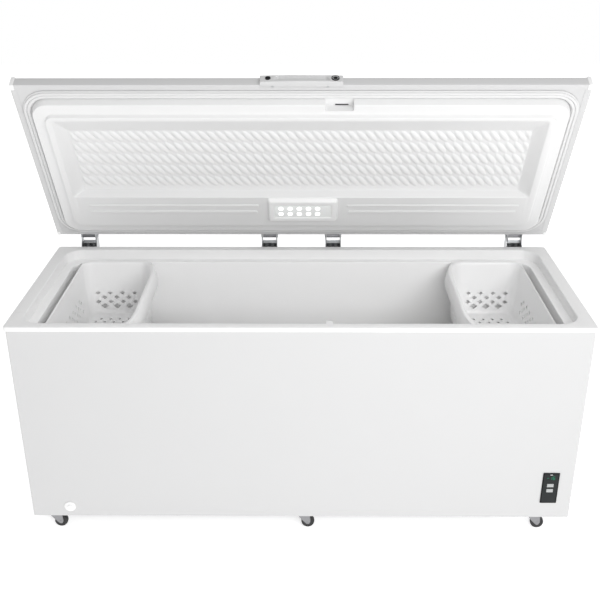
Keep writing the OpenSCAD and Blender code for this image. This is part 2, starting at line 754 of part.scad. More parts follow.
// stepped plug below the flange, shrunk by t, starting h0 above the flange
function plug_profile(c0, c1, t, h0) = [
    [c0 + plug_in + t, z_fl + h0], [c0 + plug_in + t, z_fl], [c0 + step1_in + t, z_fl - plug_h1 + t],
    [c0 + step2_in + t, z_fl - plug_h1 + t], [c0 + top2_in + t, z_fl - plug_h2 + t],
    [c1 - top2_in - t, z_fl - plug_h2 + t], [c1 - step2_in - t, z_fl - plug_h1 + t],
    [c1 - step1_in - t, z_fl - plug_h1 + t], [c1 - plug_in - t, z_fl], [c1 - plug_in - t, z_fl + h0]];
module plug(t = 0, h0 = 1) {
    z_deep = z_fl - panel_h + t;
    z_out = z_fl - plug_h2 - 10;
    grow = 10 * (panel_in - slope_in) / (plug_h2 - panel_h);
    difference() {
        intersection() {
            along_x(-lhx, lhx, plug_profile(lf, lr, t, h0));
            along_y(lf, lr, plug_profile(-lhx, lhx, t, h0));
            rbox(-lhx + plug_in + t, lhx - plug_in - t, lf + plug_in + t, lr - plug_in - t,
                 z_fl - 2 * plug_h2, z_fl + h0 + eps, plug_r);
        }
        intersection() {
            along_x(-lhx, lhx, [[lf + panel_in - t, z_deep], [lf + slope_in - grow - t, z_out],
                [lr - plateau_rear + 5 + t, z_out], [lr - plateau_rear + t, z_deep]]);
            along_y(lf, lr, [[-lhx + panel_in - t, z_deep], [-lhx + slope_in - grow - t, z_out],
                [lhx - slope_in + grow + t, z_out], [lhx - panel_in + t, z_deep]]);
        }
        box(notch_x0 - t, notch_x1 + t, lf, lf + notch_s1 + t, z_fl - 2 * plug_h2, z_fl + h0 + eps);
    }
}
module lock_space() {
    rod_y(lock_x, lf - eps, lf + cam_s, lock_z, lock_rod_r + gap);
    box(lock_x - lever_hw - 2, lock_x + lever_len + 3, lf + cam_s - gap, lf + cam_s + lever_t + gap,
        z_fl - eps, lock_z + 15);
}
module lid_skin() {
    color("white") on_lid() difference() {
        lid_solid(0, z_fl);
        lid_solid(skin_t, z_fl + skin_t);
        box(-lhx + flange_w, lhx - flange_w, lf + flange_w, lr - flange_w, z_fl - eps, z_fl + 5);
        rod_y(lock_x, lf - eps, lf + 5, lock_z, lock_rod_r + gap);
        handle_screw_holes();
    }
}
module lid_liner() {
    color("whitesmoke") on_lid() difference() {
        union() {
            box(-lhx + flange_w, lhx - flange_w, lf + flange_w, lr - flange_w, z_fl, z_fl + liner_t);
            plug(0, 0.5);
        }
        plug(liner_t, liner_t + eps);
        lock_space();
    }
}
module lid_foam() {
    color("khaki") on_lid() difference() {
        union() {
            lid_solid(skin_t, z_fl + liner_t);
            plug(liner_t, liner_t + eps);
        }
        lock_space();
        handle_screw_holes();
    }
}
module lid_gasket() {
    g0 = flange_w + 2;
    g1 = plug_in - gap;
    color("lightgray") on_lid() difference() {
        union() {
            rbox(-lhx + g0, lhx - g0, lf + g0, lr - g0, z_fl - 4, z_fl, plug_r + g1 - g0);
            rbox(-lhx + g0 + 3, lhx - g0 - 3, lf + g0 + 3, lr - g0 - 3, zt + 0.4, z_fl - 3,
                 plug_r + g1 - g0 - 3);
        }
        rbox(-lhx + g1, lhx - g1, lf + g1, lr - g1, zt, z_fl + eps, plug_r);
    }
}
// small plastic caps over the folded corners of the lid
module lid_corner_caps() {
    t = 1;
    color("whitesmoke") on_lid() for (s = [-1, 1]) for (y = [lf, lr]) {
        sy = y == lf ? 1 : -1;
        size = y == lf ? [16, 20] : [12, 12];
        box(min(s * (lhx - size[0]), s * lhx), max(s * (lhx - size[0]), s * lhx),
            min(y, y + sy * size[1]), max(y, y + sy * size[1]), z_fl - t, z_fl);
    }
}
module handle_screw_holes() {
    for (x = [-handle_screw_x, handle_screw_x]) translate([x, lf + 5, z_fl - 5]) cylinder(r = 2, h = 14);
}
module lid_handle() {
    color("whitesmoke") on_lid() difference() {
        union() {
            box(-handle_w / 2, handle_w / 2, lf - handle_p, lf, z_fl - handle_tab_t, z_lid - lid_bevel);
            box(-handle_w / 2, handle_w / 2, lf - eps, lf + 10, z_fl - handle_tab_t, z_fl);
        }
        // finger scoop with sloping ends
        along_y(lf - handle_p - eps, lf - handle_p + scoop_d,
            [[-scoop_hw, z_fl + 5], [scoop_hw, z_fl + 5], [scoop_hw - 10, z_fl + 29],
             [-scoop_hw + 10, z_fl + 29]]);
        rod_y(lock_x, lf - handle_p - eps, lf + eps, lock_z, lock_r + run);
        rod_y(blind_x, lf - handle_p - eps, lf - handle_p + 6, lock_z, blind_r);
        handle_screw_holes();
    }
}
module handle_screws() {
    color("silver") on_lid() for (x = [-handle_screw_x, handle_screw_x])
        translate([x, lf + 5, z_fl - 4]) union() {
        cylinder(r = 3.5, h = 2);
        cylinder(r = 2, h = 13);
    }
}
module handle_plug() {
    color("black") on_lid()
        rod_y(blind_x, lf - handle_p + 1, lf - handle_p + 6, lock_z, blind_r);
}
module lock_cylinder() {
    color("silver") on_lid() union() {
        rod_y(lock_x, lf - handle_p - 1, lf - 0.5, lock_z, lock_r);
        rod_y(lock_x, lf - 1, lf + cam_s, lock_z, lock_rod_r);
    }
}
// the lever points to the right when unlocked and down when locked, where its tooth passes the strike
module lock_cam() {
    color("silver") on_lid() union() {
        rod_y(lock_x, lf + cam_s, lf + cam_s + lever_t, lock_z, lever_hw);
        box(lock_x, lock_x + lever_len, lf + cam_s, lf + cam_s + lever_t,
            lock_z - lever_hw, lock_z + lever_hw);
        box(lock_x + lever_len - lever_t, lock_x + lever_len, lf + cam_s, lf + cam_s + lever_t,
            lock_z - tooth_len, lock_z);
    }
}

// ---------- lamp on the plug's rear plateau ----------
z_pl = z_fl - plug_h2;
lamp_skirt = 6;                                  // widening of the housing towards the plateau
module lamp_housing() {
    ls = lf + lamp_s0;
    le = lf + lamp_s1;
    color("white") on_lid() translate([lamp_x, 0, 0]) difference() {
        along_y(ls, le, [[-lamp_hw - lamp_skirt, z_pl], [lamp_hw + lamp_skirt, z_pl],
                         [lamp_hw, z_pl - lamp_h], [-lamp_hw, z_pl - lamp_h]]);
        box(-lamp_hw + lamp_wall, lamp_hw - lamp_wall, ls + lamp_wall, le - lamp_wall,
            z_pl - lamp_h + lamp_wall, z_pl + eps);
        box(-lens_hw, lens_hw, ls + lens_margin, le - lens_margin, z_pl - lamp_h - eps, z_pl);
    }
}
module lamp_lens() {
    color("lightcyan") on_lid() translate([lamp_x, 0, 0])
        box(-lens_hw, lens_hw, lf + lamp_s0 + lens_margin, lf + lamp_s1 - lens_margin,
            z_pl - lamp_h + 1, z_pl - lamp_h + lamp_wall);
}
module lamp_board() {
    color("white") on_lid() translate([lamp_x, 0, 0])
        box(-lamp_hw + lamp_wall, lamp_hw - lamp_wall, lf + lamp_s0 + lamp_wall, lf + lamp_s1 - lamp_wall,
            z_pl - 3, z_pl - 1.5);
}

// ---------- baskets ----------
// distance of a tapered side from the basket's edge at height z, shrunk by t
function in_by(z, t) = basket_taper * (basket_z1 - z) / basket_h + t;
// tapered tub outline between the sides x0 and x1, shrunk by t
module basket_form(x0, x1, t, z0, z1) {
    a = in_by(z0, t);
    b = in_by(z1, t);
    intersection() {
        along_x(x0 - 50, x1 + 50, [[basket_y0 + a, z0], [basket_y1 - a, z0], [basket_y1 - b, z1],
                                   [basket_y0 + b, z1]]);
        along_y(basket_y0, basket_y1, [[x0 + a, z0], [x1 - a, z0], [x1 - b, z1], [x0 + b, z1]]);
        rbox(x0 + t, x1 - t, basket_y0 + t, basket_y1 - t, z0 - eps, z1 + eps, basket_r - t);
    }
}
module diamond(w, h) {
    polygon([[-w / 2, 0], [0, h / 2], [w / 2, 0], [0, -h / 2]]);
}
module basket_vents(x0, x1) {
    xm = x0 + vent_x;
    ym = (basket_y0 + basket_y1) / 2;
    reach = 50;
    // front and back walls
    for (r = [0 : 3]) for (i = [0 : 3 - r % 2])
        translate([xm + (i - 1.5 + (r % 2) / 2) * vent_pitch, basket_y0 - reach,
                   basket_z1 - vent_drop - r * vent_row])
            rotate([-90, 0, 0]) linear_extrude(basket_y1 - basket_y0 + 2 * reach)
                diamond(vent_w[r], vent_h[r]);
    // side walls
    for (r = [0 : 3]) for (i = [-3 : 3])
        translate([x0 - reach, ym + (i - 0.15 + (r % 2) / 2) * side_vent_pitch,
                   basket_z1 - side_vent_drop - r * vent_row])
            rotate([90, 0, 90]) linear_extrude(x1 - x0 + 2 * reach)
                diamond(side_vent_w, side_vent_h);
    // floor
    for (r = [-7 : 8]) for (i = [0 : 3])
        translate([xm + (i - 1.5 - abs(r % 2) / 2) * floor_vent_pitch[0],
                   ym + (r - 0.08) * floor_vent_pitch[1], basket_z1 - basket_h - eps])
            linear_extrude(basket_t + 2 * eps) diamond(floor_vent[0], floor_vent[1]);
}
// a basket in the left half; the deep band is on the side towards the cabinet's centre
module basket() {
    t = basket_t;
    x0 = -tx + basket_gap;
    x2 = x0 + basket_w;
    x1 = x2 - band_out;
    z_lo = basket_z1 - basket_h;
    color("white") union() {
        difference() {
            basket_form(x0, x1, 0, z_lo, basket_z1);
            basket_form(x0, x1, t, z_lo + t, basket_z1 + eps);
            basket_vents(x0, x1);
        }
        // flange around the top that lies on the ledges
        difference() {
            rbox(x0, x2, basket_y0 - hook_over, basket_y1 + hook_over, basket_z1 - hook_t, basket_z1,
                 basket_r);
            rbox(x0 + t, x1 - t, basket_y0 + t, basket_y1 - t, basket_z1 - hook_t - eps, basket_z1 + eps,
                 basket_r - t);
        }
        // band hanging from the flange
        difference() {
            rbox(x1 - 80, x2, basket_y0, basket_y1, basket_z1 - band_h, basket_z1, basket_r);
            rbox(x1 - 80 - t, x2 - t, basket_y0 + t, basket_y1 - t, basket_z1 - band_h - eps,
                 basket_z1 + eps, basket_r - t);
            box(x1 - 90, x1 - basket_r, basket_y0 - eps, basket_y1 + eps, 0, zt);
        }
    }
}
module basket_left() { basket(); }
module basket_right() { mirror([1, 0, 0]) basket(); }

// ---------- assembly ----------
outer_wrapper();
back_panel();
bottom_panel();
inner_liner();
cabinet_foam();
rim_front();
rim_rear();
rim_left();
rim_right();
rim_corners();
lock_strike();
drain_escutcheon();
drain_tube();
drain_plug();
compressor();
compressor_tray();
compressor_grommets();
condenser_coil();
evaporator_coil();
cable_gland();
side_grille();
control_bezel();
control_display();
control_board();
upper_button();
lower_button();
hinge_bodies();
hinge_screws();
hinge_arms();
hinge_pins();
hinge_followers();
hinge_springs();
caster_plates();
for (i = [1 : 6]) {
    caster_fork(caster_xy[i - 1]);
    caster_wheel(caster_xy[i - 1]);
}
lid_skin();
lid_foam();
lid_liner();
lid_gasket();
lid_corner_caps();
lid_handle();
handle_screws();
handle_plug();
lamp_housing();
lamp_board();
lamp_lens();
lock_cylinder();
lock_cam();
basket_left();
basket_right();
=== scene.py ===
# %% [markdown]
# # A chest freezer, piece by piece
# This lesson dresses the freezer's CAD model. Every new surface is worked out with numpy as a grid of points,
# in millimetres, and is put into a mesh in one go. The frame gives the rigid bodies that the pieces ride on.

# %% Load the frame
import math

import bmesh
import bpy
import numpy as np
from mathutils import Matrix, Vector


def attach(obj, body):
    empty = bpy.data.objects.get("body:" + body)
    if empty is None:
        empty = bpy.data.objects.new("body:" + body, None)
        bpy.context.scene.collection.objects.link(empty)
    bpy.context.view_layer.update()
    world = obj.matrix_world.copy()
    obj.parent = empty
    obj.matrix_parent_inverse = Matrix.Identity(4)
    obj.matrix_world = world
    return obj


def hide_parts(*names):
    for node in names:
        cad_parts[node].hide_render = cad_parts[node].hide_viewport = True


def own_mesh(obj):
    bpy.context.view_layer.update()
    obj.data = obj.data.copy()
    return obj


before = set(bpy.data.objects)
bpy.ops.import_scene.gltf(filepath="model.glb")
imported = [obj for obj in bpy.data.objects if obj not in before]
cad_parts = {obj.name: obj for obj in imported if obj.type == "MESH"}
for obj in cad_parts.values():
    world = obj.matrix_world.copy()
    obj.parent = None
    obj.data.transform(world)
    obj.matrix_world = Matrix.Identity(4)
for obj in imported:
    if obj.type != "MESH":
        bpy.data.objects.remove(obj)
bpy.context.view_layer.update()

# %% [markdown]
# The main planes of the cabinet and the lid come first, because every later piece hangs on them.
# X runs along the length, Y to the back and Z up. The lid is described closed, in its own three measures:
# X, the distance s from its front edge, and the distance h from its flange down towards the cabinet.

# %% Main planes
FRONT, BACK = -371.0, 329.0  # front and back of the rim
HALF = 930.0  # half the length over the rim
RIM_Z, LEDGE_Z, FLOOR_Z, STEP_Z, UNDER_Z = 792.0, 755.0, 122.0, 352.0, 62.0
MOUTH = (-885.0, 885.0, FRONT + 33, BACK - 37)  # opening at the rim
TUB = (-854.0, 854.0, FRONT + 64, BACK - 68)  # food compartment below the ledge
BODY_FRONT, BODY_BACK = FRONT + 5, BACK - 5
LID_FRONT, LID_D, FLANGE_Z = FRONT - 3.5, 707.0, RIM_Z + 12
PIVOT_Y, PIVOT_Z, OPEN = BACK + 32, RIM_Z + 32, math.radians(62.5)
HINGES = np.array([-815.0, -122.0, 122.0, 815.0])
CASTERS = [(x, y) for y in (FRONT + 33, BACK - 50) for x in (-861.0, 4.0, 804.0)]


def lid_place(points):
    """Lid measures (x, s, h) to the row frame: y = front + s, z = flange - h, then a turn about the pivot."""
    x, s, h = np.moveaxis(np.asarray(points, float), -1, 0)
    dy, dz = LID_FRONT + s - PIVOT_Y, FLANGE_Z - h - PIVOT_Z
    c, k = math.cos(OPEN), math.sin(OPEN)
    return np.stack([x, PIVOT_Y + dy * c + dz * k, PIVOT_Z - dy * k + dz * c], -1)


# %% [markdown]
# Almost everything here is a stack of rounded rectangles: the rim, the liner, the lid and the baskets.
# So the first tool makes rings, and the second sews a grid of points into quads.

# %% Rings, skins and revolved shapes
def rings(rows, n=8):
    """One rounded rectangle a row (x0, x1, y0, y1, radius, z): corner centre + radius (cos a, sin a)."""
    x0, x1, y0, y1, r, z = (c[:, None, None] for c in np.array(rows, float).T)
    k, t = np.arange(4)[None, :, None], np.linspace(0, 1, n + 1)[None, None, :]
    a = np.pi + (k + t) * np.pi / 2
    cx = np.where((k == 0) | (k == 3), x0 + r, x1 - r)
    cy = np.where(k < 2, y0 + r, y1 - r)
    return np.stack([cx + r * np.cos(a), cy + r * np.sin(a), z + 0 * a], -1).reshape(len(rows), -1, 3)


def oval_rings(rows, n=8):
    """Like rings, with the corners at x0 and at x1 as ellipses: (x0, x1, y0, y1, rx0, ry0, rx1, ry1, z)."""
    x0, x1, y0, y1, rx0, ry0, rx1, ry1, z = (c[:, None, None] for c in np.array(rows, float).T)
    k, t = np.arange(4)[None, :, None], np.linspace(0, 1, n + 1)[None, None, :]
    a, near = np.pi + (k + t) * np.pi / 2, (k == 0) | (k == 3)
    rx, ry = np.where(near, rx0, rx1), np.where(near, ry0, ry1)
    cx, cy = np.where(near, x0 + rx, x1 - rx), np.where(k < 2, y0 + ry, y1 - ry)
    return np.stack([cx + rx * np.cos(a), cy + ry * np.sin(a), z + 0 * a], -1).reshape(len(rows), -1, 3)


def skin(grid, loop=False, caps=True):
    """Quads over a grid of points closed around its second side. loop joins the last ring to the first."""
    m, n = grid.shape[:2]
    i, j = np.meshgrid(np.arange(m if loop else m - 1), np.arange(n), indexing="ij")
    a, b = (i * n + j).ravel(), (i * n + (j + 1) % n).ravel()
    c, d = ((i + 1) % m * n + (j + 1) % n).ravel(), ((i + 1) % m * n + j).ravel()
    faces = np.stack([a, b, c, d], 1).tolist()
    if caps and not loop:
        faces += [list(range(n))[::-1], list(range((m - 1) * n, m * n))]
    return grid.reshape(-1, 3), faces


def sheet_grid(grid, back):
    """A closed slab: the grid's surface, a flat underside at the same x and y with height back, and its rim."""
    m, n = grid.shape[:2]
    i, j = np.meshgrid(np.arange(m - 1), np.arange(n - 1), indexing="ij")
    top = np.stack([i * n + j, i * n + j + 1, (i + 1) * n + j + 1, (i + 1) * n + j], -1).reshape(-1, 4)
    edge = np.concatenate([np.arange(n), np.arange(1, m) * n + n - 1, (m - 1) * n + np.arange(n - 2, -1, -1),
                           np.arange(m - 2, 0, -1) * n])
    under = grid.reshape(-1, 3)[edge].copy()
    under[:, 2] = back
    k = np.arange(len(edge))
    low = m * n + k
    walls = np.stack([edge, edge[(k + 1) % len(k)], low[(k + 1) % len(k)], low], 1)
    return np.concatenate([grid.reshape(-1, 3), under]), top.tolist() + walls.tolist() + [low.tolist()]


def merge(*parts):
    """Several pieces of mesh as one list of points and faces."""
    points, faces, start = [], [], 0
    for p, f in parts:
        points.append(np.asarray(p, float).reshape(-1, 3))
        faces += [[i + start for i in face] for face in f]
        start += len(points[-1])
    return np.concatenate(points), faces


def moved(part, by=(0, 0, 0), flip_x=False):
    """A copy of a piece, shifted, and mirrored in x first if asked."""
    p = np.array(part[0], float)
    return p * (-1 if flip_x else 1, 1, 1) + np.asarray(by, float), part[1]


def lathe(profile, origin, axis, n=40):
    """A profile of (radius, distance) turned about an axis: origin + distance axis + radius (u cos a + v sin a)."""
    axis = np.array(axis, float) / np.linalg.norm(axis)
    u = np.cross(axis, (1, 0, 0) if abs(axis[0]) < 0.9 else (0, 1, 0))
    u /= np.linalg.norm(u)
    v = np.cross(axis, u)
    a = np.arange(n) * 2 * np.pi / n
    r, d = (np.array(profile, float)[:, k][:, None, None] for k in (0, 1))
    around = np.cos(a)[None, :, None] * u + np.sin(a)[None, :, None] * v
    return skin(np.array(origin, float) + d * axis + r * around)


def tube(path, r, n=10, caps=True):
    """A round section carried along a path: the section's plane follows the path's direction."""
    path = np.array(path, float)
    t = np.gradient(path, axis=0)
    t /= np.linalg.norm(t, axis=1)[:, None]
    ref = np.where(np.abs(t[:, [1]]) > 0.9, (1.0, 0, 0), (0, 1.0, 0))
    u = np.cross(t, ref)
    u /= np.linalg.norm(u, axis=1)[:, None]
    v = np.cross(t, u)
    a = (np.arange(n) * 2 * np.pi / n)[None, :, None]
    return skin(path[:, None] + r * (np.cos(a) * u[:, None] + np.sin(a) * v[:, None]), caps=caps)


def block(x0, x1, y0, y1, z0, z1, r=3.0, e=1.0, k=3, n=5):
    """A rounded block. Near each end the outline draws in by e (1 - cos a) while it climbs e (1 - sin a)."""
    a = np.linspace(0, np.pi / 2, k + 1)
    inset = np.concatenate([e * (1 - np.sin(a)), e * (1 - np.cos(a))])
    z = np.concatenate([z0 + e * (1 - np.cos(a)), z1 - e * (1 - np.sin(a))])
    rows = [(x0 + i, x1 - i, y0 + i, y1 - i, max(r - i, 0.05), h) for i, h in zip(inset, z)]
    return skin(rings(rows, n))


def plate(outline, lo, hi, axis):
    """A flat outline given a thickness along axis 0, 1 or 2; the outline's two measures are the other axes."""
    outline = np.array(outline, float)
    ends = [np.insert(outline, axis, v, axis=1) for v in (lo, hi)]
    return skin(np.stack(ends))


print("rounded block test:", len(block(0, 10, 0, 10, 0, 10)[0]), "points")


# %% [markdown]
# A piece becomes an object here: its points go to metres, its faces are turned outwards, its sharp creases are
# marked, and it gets its material, its body and the CAD nodes that it stands for.

# %% From points to a piece
def outward_mesh(name, part, lid):
    """A mesh in metres from a list of points and faces in millimetres, with its faces turned outwards."""
    points, faces = part
    points = (lid_place(points) if lid else np.asarray(points)) / 1000
    mesh = bpy.data.meshes.new(name)
    mesh.from_pydata(points.tolist(), [], faces)
    bm = bmesh.new()
    bm.from_mesh(mesh)
    bmesh.ops.recalc_face_normals(bm, faces=bm.faces)
    bm.to_mesh(mesh)
    bm.free()
    return mesh


def put(name, part, material, body, slot, *nodes, lid=False, crease=32.0, bevel=0.0):
    """A finished piece: its mesh, its material, the body it rides on and the CAD nodes it stands for."""
    mesh = outward_mesh(name, part, lid)
    finish_mesh(mesh, crease)
    obj = bpy.data.objects.new(name.replace(" ", "_"), mesh)
    bpy.context.scene.collection.objects.link(obj)
    if bevel:
        m = obj.modifiers.new("bevel", "BEVEL")
        m.width, m.segments, m.limit_method, m.angle_limit = bevel / 1000, 2, "ANGLE", math.radians(40)
        m.harden_normals = False
    obj.data.materials.append(material)
    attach(obj, body)
    if nodes:
        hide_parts(*nodes)
    return obj


def finish_mesh(mesh, crease):
    """Smooth shading, with a sharp crease wherever two faces meet at more than the given angle."""
    mesh.shade_smooth()
    mesh.set_sharp_from_angle(angle=math.radians(crease))
    mesh.update()


def carve(obj, part, lid=False, crease=32.0):
    """Takes a solid away from a piece, such as the holes of a basket."""
    mesh = outward_mesh("cutter", part, lid)
    cutter = bpy.data.objects.new("cutter", mesh)
    bpy.context.scene.collection.objects.link(cutter)
    m = obj.modifiers.new("carve", "BOOLEAN")
    m.operation, m.object, m.solver = "DIFFERENCE", cutter, "EXACT"
    bpy.context.view_layer.update()
    result = bpy.data.meshes.new_from_object(obj.evaluated_get(bpy.context.evaluated_depsgraph_get()))
    obj.modifiers.remove(m)
    bpy.data.objects.remove(cutter)
    bpy.data.meshes.remove(mesh)
    old, obj.data = obj.data, result
    bpy.data.meshes.remove(old)
    finish_mesh(obj.data, crease)
    return obj


# %% [markdown]
# ## Finishes
# The freezer is white on white, so its finishes differ in gloss and fine texture more than in colour: rolled
# enamel on the sheets, a faint spark grain on the plastics, zinc with crystals on the brackets. Two node groups
# do the work for all of them: one gives grain, one gives the light dust that settles on level faces.

# %% Node groups
def new_group(name, inputs, outputs):
    """An empty shader group with named sockets: (name, socket type, default)."""
    group = bpy.data.node_groups.new(name, "ShaderNodeTree")
    for label, kind, value in inputs:
        s = group.interface.new_socket(name=label, in_out="INPUT", socket_type=kind)
        if value is not None:
            s.default_value = value
    for label, kind in outputs:
        group.interface.new_socket(name=label, in_out="OUTPUT", socket_type=kind)
    return group, group.nodes.new("NodeGroupInput"), group.nodes.new("NodeGroupOutput")


def math_node(tree, operation, *values):
    """A Math node in a tree: each value is a number to set or a socket to link, in the order of its inputs."""
    node = tree.nodes.new("ShaderNodeMath")
    node.operation = operation
    for socket, value in zip(node.inputs, values):
        if isinstance(value, (int, float)):
            socket.default_value = value
        else:
            tree.links.new(value, socket)
    return node


def grain_group():
    """Colour = base x (1 + amount (noise - 1/2)); roughness likewise; height = fine noise + a little coarse."""
    g, i, o = new_group(
        "grain",
        [("Vector", "NodeSocketVector", None), ("Colour", "NodeSocketColor", (0.8, 0.8, 0.8, 1)),
         ("Amount", "NodeSocketFloat", 0.05), ("Fine scale", "NodeSocketFloat", 900.0),
         ("Broad scale", "NodeSocketFloat", 6.0), ("Roughness", "NodeSocketFloat", 0.4)],
        [("Colour", "NodeSocketColor"), ("Roughness", "NodeSocketFloat"), ("Height", "NodeSocketFloat")])
    n, link = g.nodes, g.links.new
    fine, broad = n.new("ShaderNodeTexNoise"), n.new("ShaderNodeTexNoise")
    fine.inputs["Detail"].default_value, broad.inputs["Detail"].default_value = 1.0, 3.0
    for tex, label in ((fine, "Fine scale"), (broad, "Broad scale")):
        link(i.outputs["Vector"], tex.inputs["Vector"])
        link(i.outputs[label], tex.inputs["Scale"])
    shift = math_node(g, "SUBTRACT", broad.outputs["Fac"], 0.5)
    tone = math_node(g, "MULTIPLY_ADD", shift.outputs[0], i.outputs["Amount"], 1.0)
    colour = n.new("ShaderNodeVectorMath")
    colour.operation = "SCALE"
    link(i.outputs["Colour"], colour.inputs[0])
    link(tone.outputs[0], colour.inputs["Scale"])
    link(colour.outputs[0], o.inputs["Colour"])
    link(math_node(g, "MULTIPLY", i.outputs["Roughness"], tone.outputs[0]).outputs[0], o.inputs["Roughness"])
    height = math_node(g, "MULTIPLY_ADD", broad.outputs["Fac"], 0.25, fine.outputs["Fac"])
    link(height.outputs[0], o.inputs["Height"])
    return g


def dust_group():
    """Mask = how level the face is (normal z), squared, times a broken noise, times the amount."""
    g, i, o = new_group(
        "settled dust",
        [("Vector", "NodeSocketVector", None), ("Colour", "NodeSocketColor", (0.8, 0.8, 0.8, 1)),
         ("Dust colour", "NodeSocketColor", (0.5, 0.49, 0.47, 1)), ("Amount", "NodeSocketFloat", 0.1)],
        [("Colour", "NodeSocketColor"), ("Mask", "NodeSocketFloat")])
    n, link = g.nodes, g.links.new
    geo, split = n.new("ShaderNodeNewGeometry"), n.new("ShaderNodeSeparateXYZ")
    link(geo.outputs["Normal"], split.inputs[0])
    level = math_node(g, "MULTIPLY", split.outputs["Z"], split.outputs["Z"])
    level.use_clamp = True
    patches = n.new("ShaderNodeTexNoise")
    patches.inputs["Scale"].default_value, patches.inputs["Detail"].default_value = 14.0, 5.0
    link(i.outputs["Vector"], patches.inputs["Vector"])
    broken = math_node(g, "MULTIPLY", patches.outputs["Fac"], level.outputs[0])
    mask = math_node(g, "MULTIPLY", broken.outputs[0], i.outputs["Amount"])
    mix = n.new("ShaderNodeMix")
    mix.data_type = "RGBA"
    link(mask.outputs[0], mix.inputs["Factor"])
    link(i.outputs["Colour"], mix.inputs[6])
    link(i.outputs["Dust colour"], mix.inputs[7])
    link(mix.outputs[2], o.inputs["Colour"])
    link(mask.outputs[0], o.inputs["Mask"])
    return g


GRAIN, DUST = grain_group(), dust_group()
print("node groups:", GRAIN.name, "and", DUST.name)


# %% The finishes
def finish(name, colour, rough, fine=900.0, bump=0.05, amount=0.03, broad=6.0, dust=0.0, metallic=0.0,
           coat=0.0, depth=0.0002, specular=0.5):
    """A material: grain, then dust, into a Principled surface, with the grain's height as a fine bump."""
    mat = bpy.data.materials.new(name)
    mat.use_nodes = True
    n, link = mat.node_tree.nodes, mat.node_tree.links.new
    shader, coords = n["Principled BSDF"], n.new("ShaderNodeTexCoord")
    grain = n.new("ShaderNodeGroup")
    grain.node_tree = GRAIN
    link(coords.outputs["Object"], grain.inputs["Vector"])
    for label, value in (("Colour", (*colour, 1)), ("Amount", amount), ("Fine scale", fine),
                         ("Broad scale", broad), ("Roughness", rough)):
        grain.inputs[label].default_value = value
    top = grain
    if dust:
        top = n.new("ShaderNodeGroup")
        top.node_tree = DUST
        link(coords.outputs["Object"], top.inputs["Vector"])
        link(grain.outputs["Colour"], top.inputs["Colour"])
        top.inputs["Amount"].default_value = dust
    link(top.outputs["Colour"], shader.inputs["Base Color"])
    link(grain.outputs["Roughness"], shader.inputs["Roughness"])
    relief = n.new("ShaderNodeBump")
    relief.inputs["Strength"].default_value, relief.inputs["Distance"].default_value = bump, depth
    link(grain.outputs["Height"], relief.inputs["Height"])
    link(relief.outputs["Normal"], shader.inputs["Normal"])
    shader.inputs["Metallic"].default_value = metallic
    shader.inputs["Coat Weight"].default_value = coat
    shader.inputs["Specular IOR Level"].default_value = specular
    return mat


def glow(mat, colour, strength):
    """Lets a material give out light of its own: emission = colour x strength."""
    shader = mat.node_tree.nodes["Principled BSDF"]
    shader.inputs["Emission Color"].default_value = (*colour, 1)
    shader.inputs["Emission Strength"].default_value = strength
    return mat


